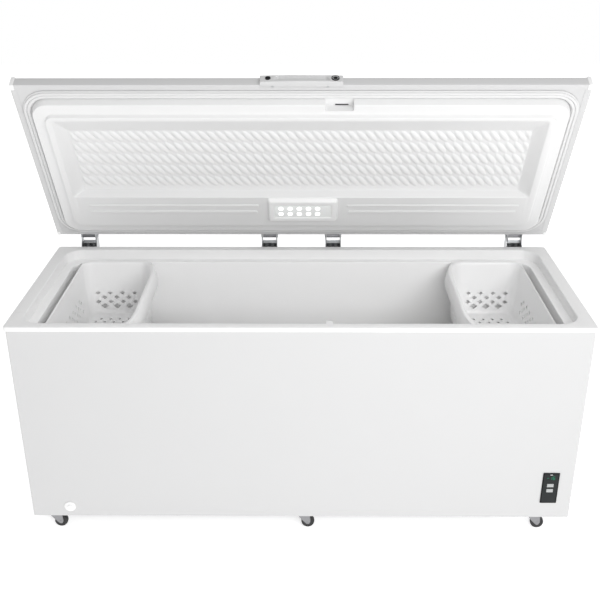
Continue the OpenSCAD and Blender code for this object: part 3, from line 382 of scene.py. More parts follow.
M = {
    # Painted shade: the enamel is set a mid grey, darker than the white plastics, to tone the painted sheets down
    # under this light.
    "enamel": finish("white enamel in painted shade", (0.60, 0.60, 0.602), 0.32, fine=260, bump=0.12, amount=0.015, coat=0.25),
    "trim": finish("white moulded trim", (0.86, 0.86, 0.86), 0.38, fine=700, bump=0.08, amount=0.02),
    "liner": finish("white vacuum-formed liner", (0.93, 0.93, 0.93), 0.36, fine=500, bump=0.1, amount=0.02),
    # Painted shade: the lid liner is set greyer than the compartment's liner of the same white plastic; its leaves
    # and ribs share it.
    "lid liner": finish("white lid liner in painted shade", (0.77, 0.77, 0.77), 0.42, fine=500, bump=0.1, amount=0.02),
    "basket": finish("white basket plastic", (0.90, 0.90, 0.90), 0.35, fine=800, bump=0.06, amount=0.015),
    "gasket": finish("pale grey magnetic gasket", (0.70, 0.70, 0.70), 0.55, fine=1200, bump=0.1),
    "zinc": finish("zinc plated steel", (0.62, 0.63, 0.64), 0.34, fine=1500, bump=0.08, metallic=0.9, amount=0.2,
                   broad=90),
    "galvanised": finish("galvanised steel", (0.55, 0.56, 0.57), 0.4, fine=240, bump=0.06, metallic=0.85,
                         amount=0.35, broad=70),
    "spring": finish("spring steel", (0.30, 0.30, 0.31), 0.35, fine=1500, bump=0.05, metallic=0.9, amount=0.15,
                     broad=60),
    "black": finish("black moulded plastic", (0.008, 0.008, 0.009), 0.35, fine=900, bump=0.06, amount=0.1,
                    specular=0.12),
    "key": finish("grey key plastic", (0.42, 0.43, 0.43), 0.5, fine=1200, bump=0.1),
    "compressor": finish("black compressor enamel", (0.02, 0.02, 0.02), 0.35, fine=300, bump=0.15, amount=0.1,
                         dust=0.25),
    "rubber": finish("black rubber", (0.025, 0.025, 0.025), 0.75, fine=1500, bump=0.25, amount=0.2, dust=0.1),
    "tyre": finish("caster tyre", (0.022, 0.022, 0.023), 0.6, fine=900, bump=0.2, amount=0.2, dust=0.12),
    "foam": finish("insulating foam", (0.72, 0.64, 0.40), 0.9, fine=400, bump=0.5, amount=0.1, depth=0.001),
    "copper": finish("copper tube", (0.72, 0.36, 0.22), 0.3, fine=900, bump=0.05, metallic=1.0, amount=0.2),
    "hose": finish("drain hose", (0.75, 0.77, 0.77), 0.4, fine=600, bump=0.05),
    "board": finish("circuit board", (0.03, 0.16, 0.07), 0.4, fine=300, bump=0.3, amount=0.3, broad=120),
    # Painted shade: a near-black finish put where a slit or a bore shows only shade.
    "painted hole shade": finish("painted shade in holes", (0.012, 0.012, 0.014), 0.6, fine=600, bump=0.05),
    "screen": finish("smoked display window", (0.022, 0.024, 0.025), 0.35, fine=600, bump=0.01, specular=0.15),
    "digits": glow(finish("green display segments", (0.01, 0.09, 0.05), 0.4, specular=0.1), (0.02, 0.5, 0.26), 0.34),
    "hub": finish("caster hub", (0.20, 0.20, 0.205), 0.5, fine=900, bump=0.1, specular=0.2),
    # Painted shade: the base is near-black, drawing the line of shade under the cabinet.
    "underside": finish("near-black base in painted shade", (0.13, 0.13, 0.135), 0.5, fine=240, bump=0.1, amount=0.2, specular=0.2),
    "mark": finish("printed light mark", (0.75, 0.76, 0.76), 0.5, fine=900, bump=0.02),
    "lens": glow(finish("lamp lens", (0.62, 0.64, 0.64), 0.25, fine=200, bump=0.05), (1.0, 0.99, 0.96), 0.22),
    "diode": glow(finish("lit lamp diodes", (0.9, 0.9, 0.9), 0.4), (1.0, 0.99, 0.97), 0.85),
}
CAD_LOOKS = {
    "outer_wrapper": "enamel", "back_panel": "enamel", "bottom_panel": "underside", "cabinet_foam": "foam",
    "drain_tube": "hose", "compressor": "compressor", "compressor_tray": "galvanised",
    "compressor_grommets": "rubber", "condenser_coil": "compressor", "evaporator_coil": "copper",
    "cable_gland": "rubber", "side_grille": "trim", "control_board": "board", "lamp_board": "board",
    "hinge_pins": "zinc", "lock_cam": "zinc", "caster_plates": "zinc", "handle_screws": "zinc",
}
for node, look in CAD_LOOKS.items():
    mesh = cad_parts[node].data
    mesh.materials.clear()
    mesh.materials.append(M[look])
print("finishes:", len(M), "for CAD nodes:", len(CAD_LOOKS))

# %% [markdown]
# ## The rim
# A moulded trim runs around the mouth: a lip outside, a flat top and a wall that drops to the ledge. Its section
# is carried from the outer outline to the mouth's outline, ring by ring. The real rim is eight mouldings, so the
# ring is sawn at their joints with a hairline left open.

# %% Rim mouldings
OUTER = (-HALF, HALF, FRONT, BACK)


def grown(box, g, r, z):
    """A box pushed outwards by g on every side, with corner radius r, at height z."""
    return (box[0] - g, box[1] + g, box[2] - g, box[3] + g, r, z)


rim_rows = [grown(OUTER, 0, 10, RIM_Z - 15), grown(OUTER, 0, 10, RIM_Z - 3), grown(OUTER, -0.6, 9.5, RIM_Z - 1.3),
            grown(OUTER, -1.8, 9, RIM_Z - 0.4), grown(OUTER, -3.5, 8, RIM_Z)]
rim_rows += [grown(MOUTH, g, 65 + g, RIM_Z - d) for g, d in
             ((4.5, 0.0), (2.2, 0.5), (0.8, 1.7), (0.0, 3.8), (0.0, 36.9), (2.0, 36.9), (2.0, 4.5))]
rim_rows += [grown(OUTER, -4.6, 6, RIM_Z - 3.2), grown(OUTER, -4.6, 6, RIM_Z - 15)]
rim_ring = skin(rings(rim_rows, 14), loop=True)


def sawn(name, node, cuts):
    """The rim's ring kept on the inner side of every cut (point, outward direction), with its sawn ends closed."""
    obj = put(name, rim_ring, M["trim"], "cabinet", "white_trim", node)
    bm = bmesh.new()
    bm.from_mesh(obj.data)
    for at, out in cuts:
        geom = bm.verts[:] + bm.edges[:] + bm.faces[:]
        made = bmesh.ops.bisect_plane(bm, geom=geom, dist=1e-7, plane_co=Vector(at) / 1000, plane_no=out,
                                      clear_outer=True)
        edges = [g for g in made["geom_cut"] if isinstance(g, bmesh.types.BMEdge)]
        bmesh.ops.edgenet_fill(bm, edges=edges)
    bmesh.ops.recalc_face_normals(bm, faces=bm.faces)
    bm.to_mesh(obj.data)
    bm.free()
    finish_mesh(obj.data, 32)
    return obj


SEAM, FRONT_X, REAR_X, SIDE_Y = 0.25, HALF - 116, HALF - 81, 110.0
L, R, F, B = (-1, 0, 0), (1, 0, 0), (0, -1, 0), (0, 1, 0)
mid = (0, 0, 0)
sawn("rim front", "rim_front", [((-FRONT_X + SEAM, 0, 0), L), ((FRONT_X - SEAM, 0, 0), R), (mid, B)])
sawn("rim rear", "rim_rear", [((-REAR_X + SEAM, 0, 0), L), ((REAR_X - SEAM, 0, 0), R), (mid, F)])
for name, inwards in (("left", R), ("right", L)):
    sawn(f"rim {name}", f"rim_{name}",
         [((0, FRONT + SIDE_Y + SEAM, 0), F), ((0, BACK - SIDE_Y - SEAM, 0), B), (mid, inwards)])
for sx in (-1, 1):
    away = (-sx, 0, 0)
    sawn(f"rim corner front {sx + 2}", "rim_corners",
         [((sx * (FRONT_X + SEAM), 0, 0), away), ((0, FRONT + SIDE_Y - SEAM, 0), B)])
    sawn(f"rim corner rear {sx + 2}", "rim_corners",
         [((sx * (REAR_X + SEAM), 0, 0), away), ((0, BACK - SIDE_Y + SEAM, 0), F)])
print("rim: 8 mouldings")

# %% [markdown]
# ## The food compartment
# One sheet of plastic is drawn into the cabinet: the ledge that carries the baskets, the walls, the floor, and
# the step over the compressor. The wall meets the floor in a soft radius. Since the floor's height only depends
# on x, the whole floor is one formula, and the walls follow it down.

# %% Liner
def floor_height(x, soft=14.0):
    """Floor, then a step: floor + rise x smooth(t), with t running over a short ramp at the step's face."""
    t = np.clip((x - 578.0) / soft, 0, 1)
    return FLOOR_Z + (STEP_Z - FLOOR_Z) * t * t * (3 - 2 * t)


def liner_part():
    """Rings from the ledge's outer edge over the lip, down the walls and in over the floor."""
    x0, x1, y0, y1 = TUB
    n = 10
    xs = np.concatenate([np.linspace(x0 + 60, 570, 24), np.linspace(574, 596, 12), np.linspace(604, x1 - 60, 6)])
    a = np.linspace(0, np.pi / 2, n + 1)[1:-1]

    def outline(inset, r):
        """One closed outline: front side, right corners, back side, left corners, at the tub's inset."""
        k = np.clip(xs, x0 + inset + r, x1 - inset - r)
        r0, r1, b0, b1 = x0 + inset + r, x1 - inset - r, y0 + inset + r, y1 - inset - r
        front = np.stack([k, np.full_like(k, y0 + inset)], 1)
        back = np.stack([k[::-1], np.full_like(k, y1 - inset)], 1)
        right = np.concatenate([np.stack([r1 + r * np.sin(a), b0 - r * np.cos(a)], 1),
                                [[x1 - inset, b0], [x1 - inset, b1]],
                                np.stack([r1 + r * np.cos(a), b1 + r * np.sin(a)], 1)])
        left = np.concatenate([np.stack([r0 - r * np.sin(a), b1 + r * np.cos(a)], 1),
                               [[x0 + inset, b1], [x0 + inset, b0]],
                               np.stack([r0 - r * np.cos(a), b0 - r * np.sin(a)], 1)])
        return np.concatenate([front, right, back, left])

    rows = []
    for g, z in ((2.0, 0.0), (0.6, 0.0)):  # the ledge's outer edge, under the rim's wall
        ring = outline(0, 60)
        scale = np.array([(885 + g) / 854, (MOUTH[3] - MOUTH[2] + 2 * g) / (y1 - y0)])
        centre = np.array([0, (y0 + y1) / 2])
        mid_y = (MOUTH[2] + MOUTH[3]) / 2
        ring = (ring - centre) * scale + (0, mid_y)
        rows.append(np.column_stack([ring, np.full(len(ring), LEDGE_Z + z)]))
    for inset, drop in ((-3.0, 0.0), (-1.2, 0.5), (-0.3, 1.6), (0.0, 3.5)):
        ring = outline(inset, 60 - inset)
        rows.append(np.column_stack([ring, np.full(len(ring), LEDGE_Z - drop)]))
    soft = 26.0
    for t in np.linspace(0, np.pi / 2, 7):  # the radius where the wall turns into the floor
        ring = outline(soft * (1 - np.cos(t)), 60 - soft * (1 - np.cos(t)))
        rows.append(np.column_stack([ring, floor_height(ring[:, 0]) + soft * (1 - np.sin(t))]))
    last = rows[-1].copy()
    for t in (0.5, 0.0):  # the floor closes towards its middle line
        ring = last.copy()
        ring[:, 1] = (y0 + y1) / 2 + (last[:, 1] - (y0 + y1) / 2) * t
        rows.append(ring)
    return np.stack(rows)


grid = liner_part()
liner = skin(grid, caps=False)
inner = put("food compartment liner", liner, M["liner"], "cabinet", "white_liner", "inner_liner")
bm = bmesh.new()
bm.from_mesh(inner.data)
bmesh.ops.remove_doubles(bm, verts=bm.verts, dist=1e-5)
bmesh.ops.recalc_face_normals(bm, faces=bm.faces)
if sum(f.normal.z * f.calc_area() for f in bm.faces if f.calc_center_median().z < 0.13) < 0:
    bmesh.ops.reverse_faces(bm, faces=bm.faces)
bm.to_mesh(inner.data)
bm.free()
finish_mesh(inner.data, 40)
wall = inner.modifiers.new("wall", "SOLIDIFY")
wall.thickness, wall.offset = 0.0015, -1
print("liner:", len(inner.data.polygons), "faces")

# %% [markdown]
# ## The lid
# The lid is a steel pan with a folded flange, a plastic liner that steps down into the mouth, and a soft gasket
# between them. All of it is stacked rings again, in the lid's own measures.

# %% Lid sheet and gasket
def inset_rows(table):
    """Rows (inset, radius, h) of the lid's outline drawn in evenly on all four sides."""
    return [(-HALF + i, HALF - i, i, LID_D - i, r, h) for i, r, h in table]


lid_sheet = inset_rows([(20, 3, -1.0), (20, 3, 0), (2.2, 5, 0), (0.9, 6, -0.3), (0.2, 6.6, -1.1), (0, 7, -2.2),
                        (0, 7, -33), (0.5, 6.8, -35.4), (1.8, 6.4, -37.6), (4, 6, -39.2), (7, 6, -40),
                        (60, 8, -44.6), (119, 10, -49.5), (124, 10, -49.7), (200, 10, -49.8)])
put("lid sheet", skin(rings(lid_sheet, 6)), M["enamel"], "lid", "white_enamel", "lid_skin", lid=True)
gasket_rows = inset_rows([(22, 88, 0), (22, 88, 3.4), (25, 85, 4.2), (25.2, 85, 8.6), (26.6, 83, 10.8),
                          (30, 80, 11.6), (33, 77, 11.2), (34.6, 75, 9.6), (35.4, 74, 7.0), (36.4, 73, 9.4),
                          (38.4, 71, 10.8), (42, 68, 11.4), (45, 65, 10.2), (46.2, 63, 7.6), (46.4, 63, 4.4),
                          (49, 60, 3.8), (49.4, 60, 0)])
put("lid gasket", skin(rings(gasket_rows, 14), loop=True), M["gasket"], "lid", "grey_gasket", "lid_gasket", lid=True)
caps = []
for sx in (-1, 1):
    x = sorted((sx * (HALF + 0.9), sx * (HALF - 14)))
    caps.append(block(*x, -0.9, 20, -41, 1.2, r=4, e=1.2))
    x = sorted((sx * (HALF + 0.9), sx * (HALF - 12)))
    caps.append(block(*x, LID_D - 14, LID_D + 0.9, -36, 1.2, r=4, e=1.2))
put("lid corner caps", merge(*caps), M["trim"], "lid", "white_trim", "lid_corner_caps", lid=True)

# %% Lid liner: the plug that drops into the mouth
plug = inset_rows([(30, 60, -2.0), (48.5, 62, -1.0), (49.8, 61, 0.6), (50.4, 60, 2.5), (56.0, 55, 27.6),
                   (57.2, 54, 29.8), (59.2, 52, 30.8), (62, 50, 31), (91, 34, 31), (93.2, 32, 31.6), (94.6, 31, 33.4),
                   (96.4, 29, 42.4), (97.8, 27, 44.4), (100, 25, 45), (106, 20, 45)])
plug += [(-812, 812, 110, 462, 11, 45), (-810, 810, 112, 461, 10, 44.3), (-808, 808, 115, 460, 9, 42.6),
         (-777.5, 777.5, 176, 457.5, 3, 10.2), (-775, 775, 180, 457, 2, 8.6), (-771, 771, 185, 455.5, 2, 8.0)]
lid_liner = put("lid liner", skin(rings(plug, 12)), M["lid liner"], "lid", "white_liner", "lid_liner", lid=True)
carve(lid_liner, block(80, 173, 20, 80, 0.3, 60, r=6, e=1), lid=True)
# The lock slot is a dark plate in the pocket: painted shade for the slit.
put("lock slot painted shade", block(113, 156, 75.5, 78.6, 0.3, 2.4, r=1, e=0.4), M["painted hole shade"], "lid", "black_plastic", lid=True)
print("lid liner:", len(lid_liner.data.polygons), "faces")

core = [(-774, 774, 182, 458.5, 2, 5.0), (-780.5, 780.5, 172.5, 460, 3, 7.6), (-811.5, 811.5, 111, 463.5, 9, 41.0)]
core += inset_rows([(115, 16, 42.6), (104, 18, 42.6), (99.5, 27, 41), (97.5, 30, 29.5), (64, 50, 29), (61, 52, 27),
                    (53, 60, 2), (49.5, 62, -3.2), (22, 4, -3.2), (3, 5, -3.2), (3, 5, -34), (10, 5, -37),
                    (60, 8, -42), (124, 10, -47), (200, 10, -47.4)])
core_foam = put("lid foam", skin(rings(core, 6)), M["foam"], "lid", "insulating_foam", "lid_foam", lid=True)
carve(core_foam, block(78, 175, 18, 82, -1.5, 60, r=6, e=1), lid=True)

# %% [markdown]
# The middle of the lid's liner is embossed with slanting leaves, five rows of them. Each leaf is a small dome
# with pointed ends: across it the height falls as 1 - (a/w)^2, and its half width w shrinks towards both tips.

# %% Embossed leaves
LEAF_X, LEAF_S, ROWS, SLANT, LEAF_H = 29.6, 52.0, 5, 0.62, 5.4
px = np.linspace(-772, 772, 690)
ps = np.linspace(184, 460, 140)
X, S = np.meshgrid(px, ps, indexing="ij")
row = np.clip(np.floor((S - 180) / LEAF_S), 0, ROWS - 1)
along = (S - 180) / LEAF_S - row - 0.5  # -1/2 to 1/2 inside a row
across = (X - 2.3 * row - SLANT * along * LEAF_S) / LEAF_X
across -= np.round(across)
width = 0.44 * np.sqrt(np.clip(1 - (along / 0.5) ** 2, 0, 1)) + 0.03
dome = np.clip(1 - (across / width) ** 2, 0, 1) * np.clip(1 - (along / 0.5) ** 2, 0, 1)
height = 7.4 + LEAF_H * dome ** 0.8
edge = np.clip(np.minimum(776 - np.abs(X), 8) / 8, 0, 1)
height = 7.4 + (height - 7.4) * edge
put("lid leaves", sheet_grid(np.stack([X, S, height], -1), 2.0), M["lid liner"], "lid", "white_liner", lid=True,
    crease=60)
ribs = []
for x0, x1 in ((-765, -152), (165, 781)):
    ribs += [block(x0, x1, 497, 508.5, 43, 47.6, r=5.6, e=1.6),
             block(x0 + 5, x1 - 5, 528, 543, 43, 47.6, r=7.4, e=1.6)]
put("lid liner ribs", merge(*ribs), M["lid liner"], "lid", "white_liner", lid=True)
print("leaves:", X.size, "points")

# %% [markdown]
# ## Handle, lock and lamp
# The handle is one moulding whose front is scooped out for the fingers. Its front is a height field: the standing
# height, less the scoop, less a rounding near the edges.

# %% Handle
HX0, HX1, H0, H1, STAND = -129.0, 137.0, -34.0, 1.5, 15.0


def smooth(t):
    """Smooth step from 0 to 1: t^2 (3 - 2t)."""
    t = np.clip(t, 0, 1)
    return t * t * (3 - 2 * t)




def closer_at_ends(lo, hi, n):
    """Steps from lo to hi: n over the middle, and eight finer ones over the last 6 mm at each end."""
    return np.unique(np.concatenate([np.linspace(lo, lo + 6, 9), np.linspace(lo + 6, hi - 6, n),
                                     np.linspace(hi - 6, hi, 9)]))


hx, hh = closer_at_ends(HX0, HX1, 150), closer_at_ends(H0, H1, 28)
X, H = np.meshgrid(hx, hh, indexing="ij")
off = np.minimum(np.minimum(X - HX0, HX1 - X), np.minimum(H - H0, H1 - H))
rounding = 4.0 - np.sqrt(np.clip(16.0 - np.clip(4.0 - off, 0, 4) ** 2, 0, 16))
middle = (HX0 + HX1) / 2
crown = 2.6 * (1 - ((X - middle) / (HX1 - middle)) ** 2)
reach_l, reach_r = X - (HX0 + 50 - 0.35 * (H - H0)), (HX1 - 48 + 0.35 * (H - H0)) - X
scoop = smooth(np.minimum(reach_l, reach_r) / 12) * smooth((H - H0 - 3.5) / 6) * smooth((-6.5 - H) / 4)
front = STAND - 2.4 + crown - rounding - 8.5 * scoop
back_plane = np.stack([X, H, front], -1)
points, faces = sheet_grid(back_plane, -0.5)
handle = (np.stack([points[:, 0], -points[:, 2], points[:, 1]], 1), faces)
tabs = block(HX0 + 1, HX1 - 1, -2, 10, -0.2, 2.0, r=2, e=0.6)
# The handle takes the same greyed enamel, so its grey is painted shade too.
put("lid handle", merge(handle, tabs), M["enamel"], "lid", "white_trim", "lid_handle", lid=True, crease=50)
LOCK = (112.0, -17.0)
BLIND = (-103.0, -17.0)
ring = [(0.01, 14.6), (7.0, 14.6), (8.2, 15.4), (9.6, 15.6), (10.6, 15.0), (11.0, 13.0), (11.0, 1.0), (0.01, 1.0)]
face = lathe([(r, -d) for r, d in ring], (LOCK[0], 0, LOCK[1]), (0, 1, 0), 36)
slot_cut = block(LOCK[0] - 1.1, LOCK[0] + 1.1, -17, -12.5, LOCK[1] - 5, LOCK[1] + 5, r=0.8, e=0.3)
lock = put("lock cylinder", face, M["zinc"], "lock", "zinc_steel", "lock_cylinder", lid=True)
carve(lock, slot_cut, lid=True)
collar = [(8.0, -14.9), (10.4, -15.9), (12.4, -15.7), (12.9, -14.6), (12.9, -11), (8.0, -11)]
put("lock collar", lathe(collar, (LOCK[0], 0, LOCK[1]), (0, 1, 0), 36), M["black"], "lid", "black_plastic", lid=True)
blind = [(0.01, -13.8), (5.0, -13.9), (7.2, -14.6), (8.4, -15.4), (8.7, -15.0), (8.7, -9), (0.01, -9)]
put("handle blind plug", lathe(blind, (BLIND[0], 0, BLIND[1]), (0, 1, 0), 32), M["black"], "lid", "black_plastic",
    "handle_plug", lid=True)

# %% Lamp
LX0, LX1 = -114.0, 126.0
a = [(LX0 - 7, LX1 + 7, 464, 576, 10, 44.0), (LX0 - 5, LX1 + 5, 466, 574, 9, 46.0),
     (LX0 - 1, LX1 + 1, 470, 570, 8, 56.4), (LX0 + 0.6, LX1 - 0.6, 471.6, 568.4, 7, 58.4),
     (LX0 + 3, LX1 - 3, 474, 566, 6, 59.0),
     (LX0 + 16, LX1 - 16, 487, 553, 5, 59.0), (LX0 + 17.5, LX1 - 17.5, 488.5, 551.5, 4.5, 58.2),
     (LX0 + 18.5, LX1 - 18.5, 489.5, 550.5, 4, 55.0)]
put("lamp housing", skin(rings(a, 8)), M["trim"], "lid", "white_trim", "lamp_housing", lid=True)
lens = [(LX0 + 18.6, LX1 - 18.6, 489.6, 550.4, 4, 54.0), (LX0 + 18.6, LX1 - 18.6, 489.6, 550.4, 4, 56.2),
        (LX0 + 20, LX1 - 20, 491, 549, 3, 57.0)]
put("lamp lens", skin(rings(lens, 6)), M["lens"], "lid", "clear_lens", "lamp_lens", lid=True)
diodes = [block(x - 9, x + 9, s - 9, s + 9, 56.6, 57.5, r=8, e=0.4)
          for x in np.linspace(-72, 60, 5) for s in (506, 533)]
put("lamp diodes", merge(*diodes), M["diode"], "lid", "clear_lens", lid=True)

# %% [markdown]
# ## Hinges
# Each hinge is a bent steel channel on the back of the cabinet. An arm with two cheeks turns on a pin between its
# ears, and a cam on the cheeks pushes a block down against two coil springs as the lid closes.

# %% Hinge channels, arms, followers and springs
SEAT_Z = RIM_Z - 197.0
ROLLER_Z = PIVOT_Z - 15.5 - 4.6
FOLLOWER_Z = ROLLER_Z - 3 + 1 - 6
channel, arms, followers, coils, heads = [], [], [], [], []
ear = [(BODY_BACK, RIM_Z - 200), (PIVOT_Y + 10, RIM_Z - 200), (PIVOT_Y + 10, PIVOT_Z + 5),
       (PIVOT_Y + 5, PIVOT_Z + 9.6), (PIVOT_Y - 5, PIVOT_Z + 9.6), (PIVOT_Y - 10, PIVOT_Z + 4), (BACK + 1, RIM_Z),
       (BACK + 1, RIM_Z - 16),
       (BODY_BACK, RIM_Z - 16)]
turn = np.radians(np.arange(88, -5, -4))
cam = np.stack([(28 - 0.2 * np.degrees(turn)) * np.sin(turn), -(28 - 0.2 * np.degrees(turn)) * np.cos(turn)], 1)
leaf_y = LID_FRONT + LID_D - PIVOT_Y
cheek = np.concatenate([[(leaf_y, 16 - 32), (leaf_y, 48 - 32), (0, 10)], cam])
s_of, h_of = cheek[:, 0] + PIVOT_Y - LID_FRONT, FLANGE_Z - (cheek[:, 1] + PIVOT_Z)
for x in HINGES:
    for side in (-1, 1):
        x0 = x - 30 if side < 0 else x + 28
        channel.append(plate(ear, x0, x0 + 2, 0))
    channel.append(block(x - 30, x + 30, BODY_BACK, BODY_BACK + 2, RIM_Z - 200, RIM_Z - 16, r=0.6, e=0.6))
    channel.append(block(x - 30, x + 30, BODY_BACK, PIVOT_Y + 10, RIM_Z - 200, SEAT_Z, r=2, e=0.6))
    arms.append(block(x - 27.5, x + 27.5, LID_D, LID_D + 2, -36, -4, r=0.6, e=0.5))
    for x0 in (x - 27.5, x + 25.5):
        arms.append(plate(np.stack([s_of, h_of], 1), x0, x0 + 2, 0))
    followers.append(block(x - 27.5, x + 27.5, PIVOT_Y - 9, PIVOT_Y + 9, FOLLOWER_Z, FOLLOWER_Z + 6, r=2, e=0.8))
    followers.append(lathe([(0.01, -27.5), (2.6, -27.5), (3, -27), (3, 27), (2.6, 27.5), (0.01, 27.5)],
                           (x, PIVOT_Y, ROLLER_Z), (1, 0, 0), 20))
    for side in (-1, 1):
        cx = x + side * 11.5
        followers.append(lathe([(0.01, 0), (5.4, 0), (6.5, 1.5), (6.5, 23), (0.01, 23)],
                               (cx, PIVOT_Y, FOLLOWER_Z - 22), (0, 0, 1), 20))
        t = np.linspace(0, 1, 24 * 18 + 1)
        z = SEAT_Z + 1.3 + (FOLLOWER_Z - SEAT_Z - 2.6) * t
        coils.append(tube(np.stack([cx + 8.7 * np.cos(2 * np.pi * 24 * t), PIVOT_Y + 8.7 * np.sin(2 * np.pi * 24 * t),
                                    z], 1), 1.25, 6))
    for dx in (-18, 18):
        for z in (RIM_Z - 55, RIM_Z - 145):
            heads.append(lathe([(0.01, 0), (4.5, 0), (4.5, 1.0), (3.4, 2.2), (1.2, 2.6), (0.01, 2.6)],
                               (x + dx, BODY_BACK + 2, z), (0, 1, 0), 20))
# The pin sleeves are real parts, but their dark spring-steel finish is painted shade around the pins.
sleeves = [lathe([(4.1, -24.5), (6.6, -24.5), (6.6, 24.5), (4.1, 24.5)], (x, PIVOT_Y - LID_FRONT, 0), (1, 0, 0), 24)
           for x in HINGES]
sleeves = [(np.stack([p[:, 0], p[:, 1], FLANGE_Z - PIVOT_Z - p[:, 2]], 1), f) for p, f in sleeves]
put("hinge pin sleeves in painted shade", merge(*sleeves), M["spring"], "lid", "zinc_steel", lid=True)
# The webs behind the channels are real sheet, but their dark spring-steel finish is painted shade inside the
# channels.
webs = [block(x - 30, x + 30, PIVOT_Y + 10.3, PIVOT_Y + 11.8, RIM_Z - 200, PIVOT_Z - 23, r=0.5, e=0.4)
        for x in HINGES]
put("hinge rear webs in painted shade", merge(*webs), M["spring"], "cabinet", "galvanised_steel")
put("hinge channels", merge(*channel), M["galvanised"], "cabinet", "galvanised_steel", "hinge_bodies", bevel=0.5)
put("hinge arms", merge(*arms), M["galvanised"], "lid", "galvanised_steel", "hinge_arms", lid=True, bevel=0.4)
put("hinge followers", merge(*followers), M["zinc"], "hinge_followers", "zinc_steel", "hinge_followers")
put("hinge screw heads", merge(*heads), M["zinc"], "cabinet", "zinc_steel", "hinge_screws")
springs = put("hinge coil springs", merge(*coils), M["spring"], "cabinet", "spring_steel", "hinge_springs")
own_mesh(springs)
strike = merge(block(84, 140, MOUTH[2], MOUTH[2] + 2, RIM_Z - 24, RIM_Z - 2, r=0.8, e=0.6),
               block(84, 104, MOUTH[2], MOUTH[2] + 24, RIM_Z - 7, RIM_Z - 4, r=3, e=0.6))
put("lock strike", strike, M["trim"], "cabinet", "white_trim", "lock_strike")
print("hinges:", len(HINGES))

# %% [markdown]
# ## Baskets
# A basket is a thin tapered box with a flange that lies on the ledge and a deep rolled band on the side towards
# the middle. Up the outside, in over the flange and down the inside is one stack of rings, so the wall has its
# thickness. The corners by the band are ellipses that widen towards the top. Diamonds are then punched through.

# %% Basket shell
BX0, BX1 = -825.0, -553.0
BY0, BY1, BTOP, DEEP, TAPER = TUB[2] + 3, TUB[3] - 3, LEDGE_Z + 2.5, 208.0, 16.0
BAND_AT = np.array([0, 4, 12, 22, 34, 46, 60, 72, 84, 95, 104, 112, 122])
BAND_OUT = np.array([12, 15, 19.5, 23.5, 25.3, 26, 25, 21.5, 14.5, 8, 3.5, 1.2, 0])


def basket_row(depth, wall=0.0, band=0.0, out=0.0, r=45.0):
    """Outline at a depth below the top: it tapers steadily, and the corners by the band widen to the top."""
    i, high = TAPER * depth / DEEP + wall, 1 - depth / DEEP
    rx, ry = r + 12 * high - wall, r + 105 * high**2 - wall
    return (BX0 + i, BX1 - i + band, BY0 + i - out, BY1 - i + out, r - wall, r - wall, rx, ry, BTOP - depth)


rows = [basket_row(DEEP, 9.0), basket_row(DEEP - 0.8, 3.5), basket_row(DEEP - 3, 0.9), basket_row(DEEP - 7)]
rows += [basket_row(170), basket_row(140)]
rows += [basket_row(d, band=b) for d, b in zip(BAND_AT[:1:-1], BAND_OUT[:1:-1])]
rows += [basket_row(2.8, band=15, out=2.0, r=46), basket_row(2.2, band=14.4, out=20.5, r=50),
         basket_row(1.2, band=13.4, out=21.4, r=50), basket_row(0.3, band=12, out=20.6, r=50),
         basket_row(0.0, band=10.4, out=19.0, r=49), basket_row(0.2, 1.0, band=6.5, out=7.0, r=47),
         basket_row(1.2, 1.6, band=4.6, out=3.6), basket_row(3.5, 2.2, band=3.0, out=1.4),
         basket_row(8, 2.5, band=1.5, out=0.3), basket_row(14, 2.5, band=0.6), basket_row(90, 2.5),
         basket_row(DEEP - 16, 2.5), basket_row(DEEP - 8, 4.0), basket_row(DEEP - 4, 7.5),
         basket_row(DEEP - 2.6, 13.0)]
shell = skin(oval_rings(rows, 14))


def diamond(w, h, x, z):
    """A diamond's outline about (x, z)."""
    return [(x - w / 2, z), (x, z + h / 2), (x + w / 2, z), (x, z - h / 2)]


def vent_cutters():
    """Rows of diamonds through the end walls, the side walls and the floor, every second row shifted by half."""
    cut, xm, ym = [], BX0 + 117, (BY0 + BY1) / 2
    for r, (w, h) in enumerate(((19, 14), (22, 17), (21, 16), (30, 23))):
        for k in range(4 - r % 2):
            x = xm + (k - 1.5 + (r % 2) / 2) * 47
            cut.append(plate(diamond(w, h, x, BTOP - 123.5 - 17.7 * r), BY0 - 30, BY1 + 30, 1))
        for k in range(-3, 4):
            y = ym + (k - 0.15 + (r % 2) / 2) * 45.5
            cut.append(plate(diamond(15, 17, y, BTOP - 97.5 - 17.3 * r), BX0 - 20, BX1 + 40, 0))
    for r in range(-7, 9):
        for k in range(4):
            x, y = xm + (k - 1.5 - (r % 2) / 2) * 35, ym + (r - 0.08) * 26.5
            cut.append(plate(diamond(13, 17, x, y), BTOP - DEEP - 9, BTOP - DEEP + 12, 2))
    return merge(*cut)


left = put("left basket", shell, M["basket"], "basket_left", "white_basket", "basket_left")
carve(left, vent_cutters())
right = put("right basket", moved(shell, flip_x=True), M["basket"], "basket_right", "white_basket", "basket_right")
carve(right, moved(vent_cutters(), flip_x=True))
print("basket:", len(left.data.polygons), "faces")

# %% [markdown]
# ## Casters
# Six small swivel casters: a black tyre on a grey hub, between the cheeks of a pressed fork.

